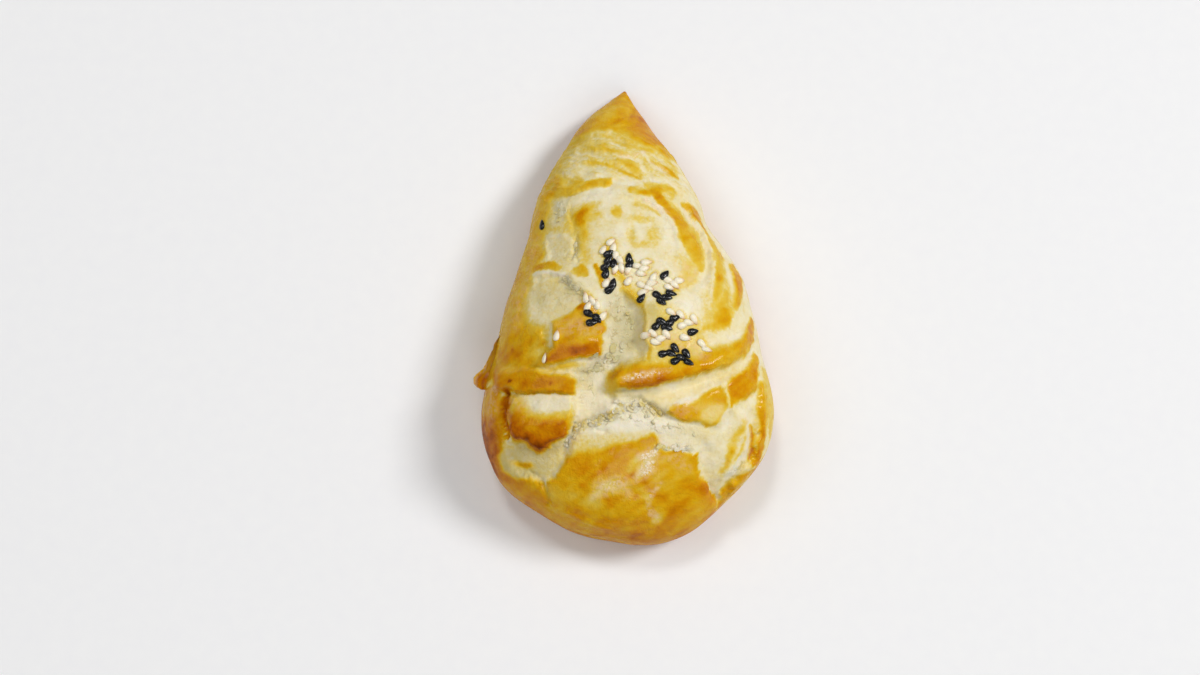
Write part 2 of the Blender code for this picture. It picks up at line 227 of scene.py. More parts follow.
# %% [markdown]
# ## Measuring features in plan
# Every fold, window and stroke of egg wash is described from above, by a short outline or by a
# line with a half width. Two functions tell how far each point of the skin is from such a shape,
# and a smooth step turns the distance into a mask. This is quicker to change than sculpting.

# %% Masks from outlines and lines
FAR = 1e9
LEVEL_EDGE = 1e-9


def smooth(low, high, value):
    """Smooth step from 0 at low to 1 at high; with low above high it steps down."""
    t = np.clip((value - low) / (high - low), 0.0, 1.0)
    return t * t * (3.0 - 2.0 * t)


def nearest_on(xy, line):
    """Distance to a line, side of it (above 0 on the left) and its values at the nearest place."""
    spots = np.array(line, float)
    gap = np.full(len(xy), FAR)
    side = np.zeros(len(xy))
    values = np.zeros((len(xy), spots.shape[1] - 2))
    for a, b in zip(spots[:-1], spots[1:]):
        way = b[:2] - a[:2]
        t = np.clip((xy - a[:2]) @ way / (way @ way), 0.0, 1.0)[:, None]
        off = xy - a[:2] - t * way
        away = np.linalg.norm(off, axis=1)
        closer = away < gap
        gap[closer] = away[closer]
        side[closer] = (way[0] * off[:, 1] - way[1] * off[:, 0])[closer]
        values[closer] = (a[2:] + t * (b[2:] - a[2:]))[closer]
    return gap, side, values


def inside_of(xy, corners):
    """Which points are inside a closed outline."""
    inside = np.zeros(len(xy), bool)
    ends = np.array(corners, float)[:, :2]
    for a, b in zip(ends, np.roll(ends, -1, axis=0)):
        crosses = (a[1] > xy[:, 1]) != (b[1] > xy[:, 1])
        rise = b[1] - a[1] if abs(b[1] - a[1]) > LEVEL_EDGE else LEVEL_EDGE
        inside ^= crosses & (xy[:, 0] < a[0] + (xy[:, 1] - a[1]) * (b[0] - a[0]) / rise)
    return inside


def area_mask(xy, corners):
    """1 inside an outline of x, y and softness and 0 outside; the edge is as soft as it says."""
    gap, _, values = nearest_on(xy, (*corners, corners[0]))
    gap = np.where(inside_of(xy, corners), -gap, gap)
    soft = values[:, 0]
    return smooth(soft, -soft, gap)


def stroke_mask(xy, softness, line):
    """1 on a line of x, y, half width and level, falling off softly at each side, and its level."""
    gap, side, values = nearest_on(xy, line)
    soft = np.where(side > 0.0, softness[0], softness[1])
    return smooth(1.0 + soft, 1.0 - soft, gap / values[:, 0]), values[:, 1]


def spot_mask(xy, soft, spot):
    """1 in a spot of x, y, half length, half breadth and direction, softened by radii."""
    x, y, long, broad, way = spot
    turned = turned_plan(xy - (x, y), way) / (long, broad)
    return smooth(1.0 + soft, 1.0 - soft, np.linalg.norm(turned, axis=1))


def turned_plan(xy, degrees):
    """Places in plan along and across a direction."""
    turn = math.radians(degrees)
    along = xy[:, 0] * math.cos(turn) + xy[:, 1] * math.sin(turn)
    across = xy[:, 1] * math.cos(turn) - xy[:, 0] * math.sin(turn)
    return np.column_stack([along, across])


# %% [markdown]
# ## Unevenness
# Dough never has a clean edge. A slow and a quick noise push the places at which the features are
# read to and fro, so an outline of six corners comes out ragged, as if it had torn or run.

# %% Noise at points
# Noise as a direction starts from the clock unless it is given a seed
noise.seed_set(5)
# How far the edges wander in millimetres, length of the bends and seed
WANDERING = ((0.5, 4.5, 3.0), (0.36, 1.7, 8.0), (0.24, 0.8, 13.0))
# Length of the lumps in millimetres and seed of each noise over the body
NOISES = {
    "clouds": (9.0, 1.0),
    "wisps": (3.0, 2.0),
    "blotches": (5.0, 16.0),
    "small blotches": (2.2, 17.0),
    "patches of wash and shade": (5.0, 18.0),
    "blisters": (4.5, 6.0),
    "crumb": (1.3, 7.0),
    "fine crumb": (0.7, 9.0),
    "grain": (1.9, 10.0),
    "fine grain": (0.9, 11.0),
    "dents": (2.8, 23.0),
}


def noise_at(points, size, seed):
    """Noise between about -1 and 1 whose lumps are size millimetres long."""
    offset = Vector((seed, 2.3 * seed, 5.1 * seed))
    return np.array([noise.noise(Vector(p) / size + offset) for p in points])


def noise_ways(points, size, seed):
    """Noise as a direction in plan."""
    offset = Vector((seed, 2.3 * seed, 5.1 * seed))
    return np.array([noise.noise_vector(Vector(p) / size + offset)[:2] for p in points])


def body_noise(name):
    return noise_at(smooth_body, *NOISES[name])


ragged = sum(reach * noise_ways(smooth_body, size, seed) for reach, size, seed in WANDERING)
ragged_plan = plan + ragged
print("edges wander by up to", round(float(np.abs(ragged).max()), 2), "mm")

# %% [markdown]
# ## Folds and flaps
# These are the same raised fields, bands and creases as in the solid, with tighter edges. The
# flaps at the left are ends of dough sheets, the long glazed ridge is the edge of the last
# winding, and the shallow windows are where one sheet sank between the others.

# %% Raised and sunken dough
# Height, then corners in plan with the softness of the edge there
FIELDS = {
    "upper left flap": (1.6, (
        (-18.8, -10.4, 0.8), (-12.4, -7.6, 1.2), (-6.4, -8, 1.6), (-4.9, -12.4, 1.2), (-5.5, -14.4, 0.6),
        (-6.0, -19.8, 0.4), (-12, -20.4, 0.35), (-16, -21.2, 0.35), (-20.2, -21.6, 0.35),
        (-20.3, -18.0, 0.4), (-18.7, -17.2, 0.5), (-18.8, -13, 0.6))),
    "middle left flap": (1.7, (
        (-34.0, -21.4, 1.5), (-28, -22.0, 1.2), (-22.6, -22.3, 0.9), (-19.6, -23.3, 0.6),
        (-15.4, -24.3, 0.5), (-12.8, -25.3, 0.4), (-12.6, -29.3, 0.3), (-15.6, -29.1, 0.3),
        (-20.8, -28.4, 0.3), (-28.6, -28.0, 0.3), (-30.4, -26.9, 0.4), (-34.0, -26.0, 1.2))),
    "lower left flap": (2.6, (
        (-30.3, -28.6, 0.5), (-20, -28.9, 0.8), (-13.2, -29.4, 1.2), (-13.0, -34.6, 1.2),
        (-14.1, -38.5, 0.6), (-15.3, -39.9, 0.4), (-19.4, -41.4, 0.35), (-21.4, -43.2, 0.35),
        (-23.7, -41.8, 0.35), (-25.2, -40.3, 0.35), (-28.5, -40.0, 0.35), (-29.5, -38.5, 0.4),
        (-30.5, -33.0, 0.4))),
    "sunken middle": (-2.3, (
        (-0.4, -3.4, 1.4), (3.4, -7.2, 1.6), (4.0, -10, 1.7), (3.8, -15.8, 1.6), (4.6, -17.4, 1.5),
        (4.4, -21.0, 1.4), (-2.6, -23.4, 1.2), (-3.6, -28.0, 1.6), (-3.0, -32.0, 1.6), (-13.6, -38.0, 1.4),
        (-12.4, -30, 1.2), (-11.6, -24.4, 1.6), (-8.0, -21.6, 1.4), (-5.0, -19.5, 1.2), (-4.6, -10.0, 1.6))),
    "upper left window": (-0.45, (
        (-20.6, 13.8, 0.7), (-14.2, 14.6, 0.9), (-12.9, 12.2, 0.5), (-12.8, 8.4, 0.5), (-14.2, 6.8, 0.7),
        (-19.8, 7.4, 0.9))),
    "high left window": (-0.2, (
        (-19.6, 26.0, 1.2), (-14.6, 26.4, 1.2), (-14.4, 20.6, 1.0), (-16.6, 18.6, 1.0), (-19.4, 19.4, 1.2))),
    "middle left window": (-0.45, (
        (-24.8, -0.4, 1.6), (-23.0, 1.8, 1.0), (-19.0, 3.0, 0.6), (-14.6, 2.6, 0.5), (-13.2, -0.2, 0.4),
        (-10.2, -3.4, 0.5), (-11.6, -7.0, 0.9), (-18.6, -9.8, 1.2), (-24.2, -8.8, 1.8))),
    "lower left window": (-1.5, (
        (-31.5, -41.0, 1.6), (-28.4, -40.6, 0.7), (-25.0, -41.2, 0.6), (-21.4, -44.0, 0.5),
        (-18.6, -42.2, 0.6), (-15.4, -41.2, 1.2), (-15.4, -44.6, 1.3), (-16.4, -47.6, 1.2),
        (-18.4, -50.0, 0.9), (-22.0, -50.4, 0.8), (-25.0, -49.0, 1.0), (-28.6, -47.4, 1.4))),
    "seeded field": (0.6, (
        (4.8, -4.0, 1.6), (22.0, -3.0, 2.0), (34.0, -7.0, 2.0), (26.0, -18.0, 2.0), (6.6, -22.0, 1.0),
        (6.4, -17.6, 0.6), (5.0, -16.4, 0.6), (5.0, -9.0, 0.8))),
    "bay in the dome gold": (-0.35, (
        (8.2, -40.0, 0.5), (8.9, -42.2, 0.4), (10.6, -43.8, 0.4), (14, -43.2, 0.4), (17.6, -44.3, 0.35),
        (18.7, -43.7, 0.35), (19.3, -48.4, 0.35), (19.9, -50.4, 0.35), (21.6, -51.4, 0.35),
        (24.6, -54.6, 0.5),
        (27, -49, 2.0), (24, -42, 2.5), (17, -38.4, 2.5), (11, -38.4, 2.0))),
}
# Fields that come up slowly: from the first level of y to the second
COMES_UP = {"upper left flap": (-8.0, -17.0), "lower left flap": (-26.0, -37.0)}
# Height, softness left and right in half widths, then x, y, half width and share of the height
BANDS = {
    "glazed ridge": (1.2, (0.9, 0.4), (
        (-2.2, -26.0, 2.0, 0.7), (3.0, -25.2, 2.9, 1.0), (9.0, -24.6, 2.9, 1.0), (15.0, -23.2, 2.5, 1.0),
        (21.0, -21.4, 2.4, 0.9), (27.0, -18.8, 2.2, 0.7), (31.0, -15.6, 1.8, 0.5), (33.4, -11.0, 1.2, 0.2))),
    "pale valley": (-1.2, (0.4, 0.7), (
        (-3.0, -30.0, 1.3, 0.8), (6.0, -29.6, 1.7, 1.0), (15.0, -27.4, 1.7, 1.0), (23.0, -24.6, 1.5, 1.0),
        (30.0, -21.2, 1.2, 0.7), (34.0, -16.5, 0.8, 0.3))),
    "lower right flap": (1.3, (0.5, 0.3), (
        (12.0, -34.0, 1.6, 0.8), (17.0, -33.4, 2.6, 1.0), (22.0, -32.6, 4.4, 1.0), (27.0, -28.8, 3.6, 1.0),
        (32.4, -24.2, 2.8, 0.8), (35.0, -19.0, 1.4, 0.3))),
}
# Height, then x, y and the half widths left and right along the line
LINES = {
    "roll of the glazed ridge": (1.3, (
        (-1.6, -25.8, 1.4, 1.2), (3.0, -25.4, 2.4, 1.6), (9.0, -24.8, 2.4, 1.7), (15.0, -23.4, 2.2, 1.5),
        (21.0, -21.6, 2.2, 1.4), (27.0, -18.8, 2.0, 1.3), (31.0, -15.4, 1.6, 1.2), (32.6, -12.0, 1.0, 1.0))),
    "gap beside the lower left flap": (-2.4, (
        (-31.0, -28.2, 0.7, 0.8), (-31.3, -31.0, 0.8, 1.0), (-31.1, -35.0, 0.7, 0.9),
        (-30.7, -39.4, 0.5, 0.7))),
    "torn edge": (-1.5, (
        (-15.3, -45.0, 0.6, 0.6), (-14.4, -40.6, 0.8, 0.8), (-12.2, -37.8, 1.2, 0.9), (-6.4, -36.0, 1.3, 0.9),
        (-3.0, -35.0, 1.1, 0.9), (0.5, -32.6, 1.2, 1.6), (4.4, -32.0, 0.8, 2.0), (10.5, -35.0, 0.6, 1.0))),
    "lower right fold": (-1.0, (
        (20.0, -44.0, 1.6, 0.7), (20.8, -50.0, 1.8, 0.7), (25.0, -55.6, 0.9, 0.6))),
    "rim crease": (-0.7, (
        (33.4, -33.0, 0.6, 1.1), (34.2, -38.0, 0.6, 1.3), (33.4, -43.6, 0.6, 1.2), (29.4, -48.0, 0.6, 0.9),
        (26.2, -52.6, 0.6, 0.8))),
    "outer rim roll": (1.2, (
        (36.4, -24.0, 1.2, 1.0), (36.8, -30.0, 1.6, 1.1), (36.6, -38.0, 1.8, 1.3), (35.4, -44.4, 1.8, 1.2),
        (29.4, -51.6, 1.6, 1.0))),
    "inner rim roll": (0.8, (
        (29.4, -33.6, 1.2, 1.6), (31.8, -37.5, 0.7, 1.6), (31.4, -42.0, 0.7, 1.6), (27.4, -47.6, 0.6, 1.4))),
    "thin layer by the rim": (0.5, (
        (32.8, -44.8, 0.3, 0.8), (29.4, -46.6, 0.3, 0.8), (25.4, -49.6, 0.3, 0.7))),
    "second thin layer by the rim": (0.45, (
        (34.4, -45.8, 0.3, 0.7), (31.2, -47.4, 0.3, 0.7), (27.6, -49.8, 0.3, 0.6))),
    "edge of the inner winding": (0.45, (
        (1.6, 25.6, 1.6, 0.4), (5.4, 25.2, 2.2, 0.4), (8.4, 24.0, 2.4, 0.4), (11.4, 20.4, 2.4, 0.4),
        (13.4, 16.6, 2.4, 0.4), (14.4, 12.0, 2.2, 0.5), (14.6, 7.0, 1.8, 0.6))),
    "inner winding crease": (-0.3, (
        (1.0, 24.4, 0.3, 0.8), (7.4, 23.4, 0.3, 0.8), (12.2, 16.4, 0.3, 0.8))),
    "middle winding crease": (-0.9, (
        (14.6, 28.0, 0.8, 0.8), (16.6, 22.4, 0.7, 1.4), (19.6, 17.4, 0.6, 1.2), (21.8, 11.4, 0.8, 1.1),
        (22.0, 6.0, 0.9, 1.0), (20.6, 2.0, 0.9, 1.0), (17.0, -1.4, 0.9, 0.9))),
    "edge of the outer winding": (0.6, (
        (16.2, 25.6, 1.6, 0.5), (18.6, 21.6, 1.6, 0.4), (21.2, 17.0, 1.4, 0.4), (23.4, 11.6, 1.8, 0.5),
        (23.6, 5.0, 2.0, 0.6), (22.4, 0.0, 2.0, 0.7))),
    "second winding crease": (-0.6, (
        (26.8, 11.0, 0.6, 0.7), (27.6, 6.0, 0.8, 0.8), (28.2, 0.5, 0.9, 0.9), (27.6, -4.0, 0.8, 0.9))),
    "right edge crease": (-0.4, (
        (32.4, -1.0, 0.7, 0.8), (31.2, -6.4, 0.9, 0.9), (29.8, -11.4, 1.0, 0.9), (25.6, -15.0, 1.0, 0.9),
        (21.6, -17.2, 0.8, 0.8))),
    "ring of the swirl": (-0.3, (
        (1.4, 12.0, 0.5, 0.9), (2.0, 15.6, 0.5, 0.9), (4.6, 17.2, 0.6, 0.9), (7.8, 15.6, 0.6, 0.9))),
    "first wrinkle": (-0.6, (
        (-13.0, 46.0, 0.6, 1.0), (-4.0, 45.6, 0.6, 1.2), (0.6, 43.2, 0.6, 1.2), (9.0, 40.4, 0.6, 1.0))),
    "second wrinkle": (-0.55, (
        (-12.0, 41.0, 0.6, 1.2), (-2.0, 38.8, 0.5, 1.2), (4.6, 36.4, 0.5, 1.0), (7.0, 33.2, 0.6, 1.0))),
    "third wrinkle": (-0.6, (
        (-9.0, 36.4, 0.5, 1.2), (-1.0, 34.4, 0.5, 1.2), (4.5, 31.2, 0.5, 1.0))),
    "fourth wrinkle": (-0.5, (
        (6.0, 38.4, 0.5, 1.0), (10.4, 35.4, 0.5, 0.9), (14.6, 32.8, 0.6, 0.9))),
    "under the high left patch": (-0.4, (
        (-19.0, 27.2, 0.8, 0.8), (-12.6, 26.8, 0.5, 1.2), (-4.2, 28.0, 0.4, 1.2), (-2.4, 30.0, 0.4, 0.9))),
    "left of the deep brown patch": (-0.4, (
        (-14.2, 22.0, 1.0, 0.4), (-13.6, 17.0, 1.0, 0.4), (-12.9, 9.0, 1.2, 0.4))),
    "left edge roll": (0.6, (
        (-22.5, 28.0, 1.4, 1.4), (-28.5, 2.0, 1.6, 2.2), (-31.0, -12.0, 1.4, 2.0))),
    "sheet over the middle window": (0.45, (
        (-24.6, 2.6, 1.2, 0.35), (-20.0, 4.2, 1.4, 0.3), (-15.6, 2.2, 1.4, 0.3), (-13.0, -1.4, 1.6, 0.3),
        (-9.8, -4.0, 1.4, 0.4))),
    "crease over the field": (-0.4, (
        (-26.4, -10.0, 1.0, 0.5), (-21.4, -11.8, 1.2, 0.5), (-20.0, -16.4, 1.0, 0.5))),
}
SHARE_IN_HALF_WIDTH = 0.45


def ridge(xy, line):
    """Share of its height that a crease or roll has at each point; each side has its own width."""
    gap, side, widths = nearest_on(xy, line)
    width = np.where(side > 0.0, widths[:, 0], widths[:, 1])
    return np.exp(-SHARE_IN_HALF_WIDTH * (gap / width) ** 2)


def folds(xy):
    """Height of the folds and flaps over the smooth body."""
    height = np.zeros(len(xy))
    for name, (rise, corners) in FIELDS.items():
        share = area_mask(xy, corners)
        if name in COMES_UP:
            share = share * smooth(*COMES_UP[name], xy[:, 1])
        height += rise * share
    for rise, softness, line in BANDS.values():
        mask, share = stroke_mask(xy, softness, line)
        height += rise * share * mask
    for rise, line in LINES.values():
        height += rise * ridge(xy, line)
    return height


# %% [markdown]
# ## Where a raised point is seen
# The tables were written down from above, so a point that is pushed out along a sloping skin must
# be read where it ends up and not where it started. The camera's tilt moves raised points a little
# up the page as well. Where it ends up depends on how far it is pushed, so the answer is found by
# taking part of the way, looking again and taking part of the rest.

# %% Seen places
FADE_FROM = 0.10
FADE_TO = 0.45
SETTLE_ROUNDS = 8
SETTLE_SHARE = 0.35
upward = smooth(FADE_FROM, FADE_TO, outward[:, 2])
lean = outward[:, :2] + (0.0, math.tan(CAMERA_TILT))


def settle():
    """Places in plan at which the raised points are seen, found in small steps."""
    seen = ragged_plan
    for _ in range(SETTLE_ROUNDS):
        rise = folds(seen) * upward
        seen = seen + SETTLE_SHARE * (ragged_plan + lean * rise[:, None] - seen)
    return seen


seen_plan = settle()
print("raised points are seen up to", round(float(np.abs(seen_plan - plan).max()), 2), "mm away")

# %% [markdown]
# ## Where the sesame seeds lie
# The seeds lie in drifts: a pinch of black ones dropped here, white ones there. Each drift is an
# ellipse filled evenly by turning a golden angle for each seed, and neighbours that would overlap
# push each other apart. Egg wash gathers round a seed and browns, and painted shade darkens the
# same ring under each seed, so the places come first.

# %% Places of the seeds
SEED_LONG = 3.2
SEED_BROAD = 1.95
SEED_THICK = 1.15
SEED_RAISE = 0.22
# x, y, half length, half breadth, direction in degrees and number of seeds
DARK_DRIFTS = (
    (-4.0, 5.2, 3.4, 1.2, 70, 5), (1.3, 5.5, 1.7, 0.4, 100, 2), (-3.3, -1.5, 1.2, 0.4, 75, 2),
    (10.5, 1.5, 0.0, 0.0, 50, 1), (4.5, -4.5, 0.0, 0.0, 50, 1), (9.8, -4.6, 2.9, 1.0, 0, 4),
    (10.8, -11.6, 3.0, 1.4, 10, 5), (17.5, -13.5, 0.0, 0.0, 12, 1),
    (13.3, -20.2, 4.4, 1.8, -15, 7), (-8.2, -10.0, 2.6, 1.5, -20, 3),
    (-22.0, 19.0, 0.0, 0.0, 96, 1))
PALE_DRIFTS = (
    (-4.0, 9.8, 3.2, 1.2, 65, 3), (-1.2, 4.2, 3.0, 1.6, -65, 5), (1.0, 0.0, 0.0, 0.0, 55, 1),
    (-4.7, -0.5, 0.0, 0.0, 60, 1), (4.4, 3.5, 2.0, 1.5, 0, 4), (7.5, 1.0, 0.0, 0.0, 60, 1),
    (5.3, -2.0, 2.2, 1.3, -10, 4), (12.2, -0.6, 2.4, 1.4, -20, 4),
    (15.4, -10.6, 3.8, 1.8, -25, 5), (8.4, -15.2, 3.2, 1.4, -10, 5),
    (15.5, -15.2, 0.0, 0.0, -10, 1), (20.5, -17.5, 1.7, 0.3, -45, 2),
    (-8.7, -6.0, 2.0, 1.4, 80, 4), (-5.6, -9.4, 0.0, 0.0, 50, 1), (-17.5, -14.5, 0.0, 0.0, 85, 1),
    (-20.5, -20.0, 0.0, 0.0, 90, 1))
TURN_SPREAD = 45.0
SEED_GAP = 1.75
PUSH_ROUNDS = 30
PUSH_SHARE = 0.3
LEAST_GAP = 0.01


def seed_places():
    """x, y and turn of every seed, the dark ones first."""
    draw = random.Random(7)
    spots = []
    for x, y, long, broad, way, count in DARK_DRIFTS + PALE_DRIFTS:
        lie = math.radians(way)
        for i in range(count):
            out = math.sqrt((i + 0.5) / count)
            swing = i * GOLDEN_TURN
            a = long * out * math.cos(swing)
            b = broad * out * math.sin(swing)
            turn = way + (draw.uniform(-TURN_SPREAD, TURN_SPREAD) if count > 1 else 0.0)
            spots.append([x + a * math.cos(lie) - b * math.sin(lie),
                          y + a * math.sin(lie) + b * math.cos(lie), turn])
    spots = np.array(spots)
    for _ in range(PUSH_ROUNDS):
        apart = spots[:, None, :2] - spots[None, :, :2]
        gap = np.linalg.norm(apart, axis=2) + np.eye(len(spots)) * SEED_GAP
        lack = np.clip(SEED_GAP - gap, 0.0, None) / (gap + LEAST_GAP)
        spots[:, :2] += PUSH_SHARE * (apart * lack[:, :, None]).sum(axis=1)
    return spots


places = seed_places()
dark_count = sum(drift[-1] for drift in DARK_DRIFTS)
print(dark_count, "dark seeds and", len(places) - dark_count, "pale ones")
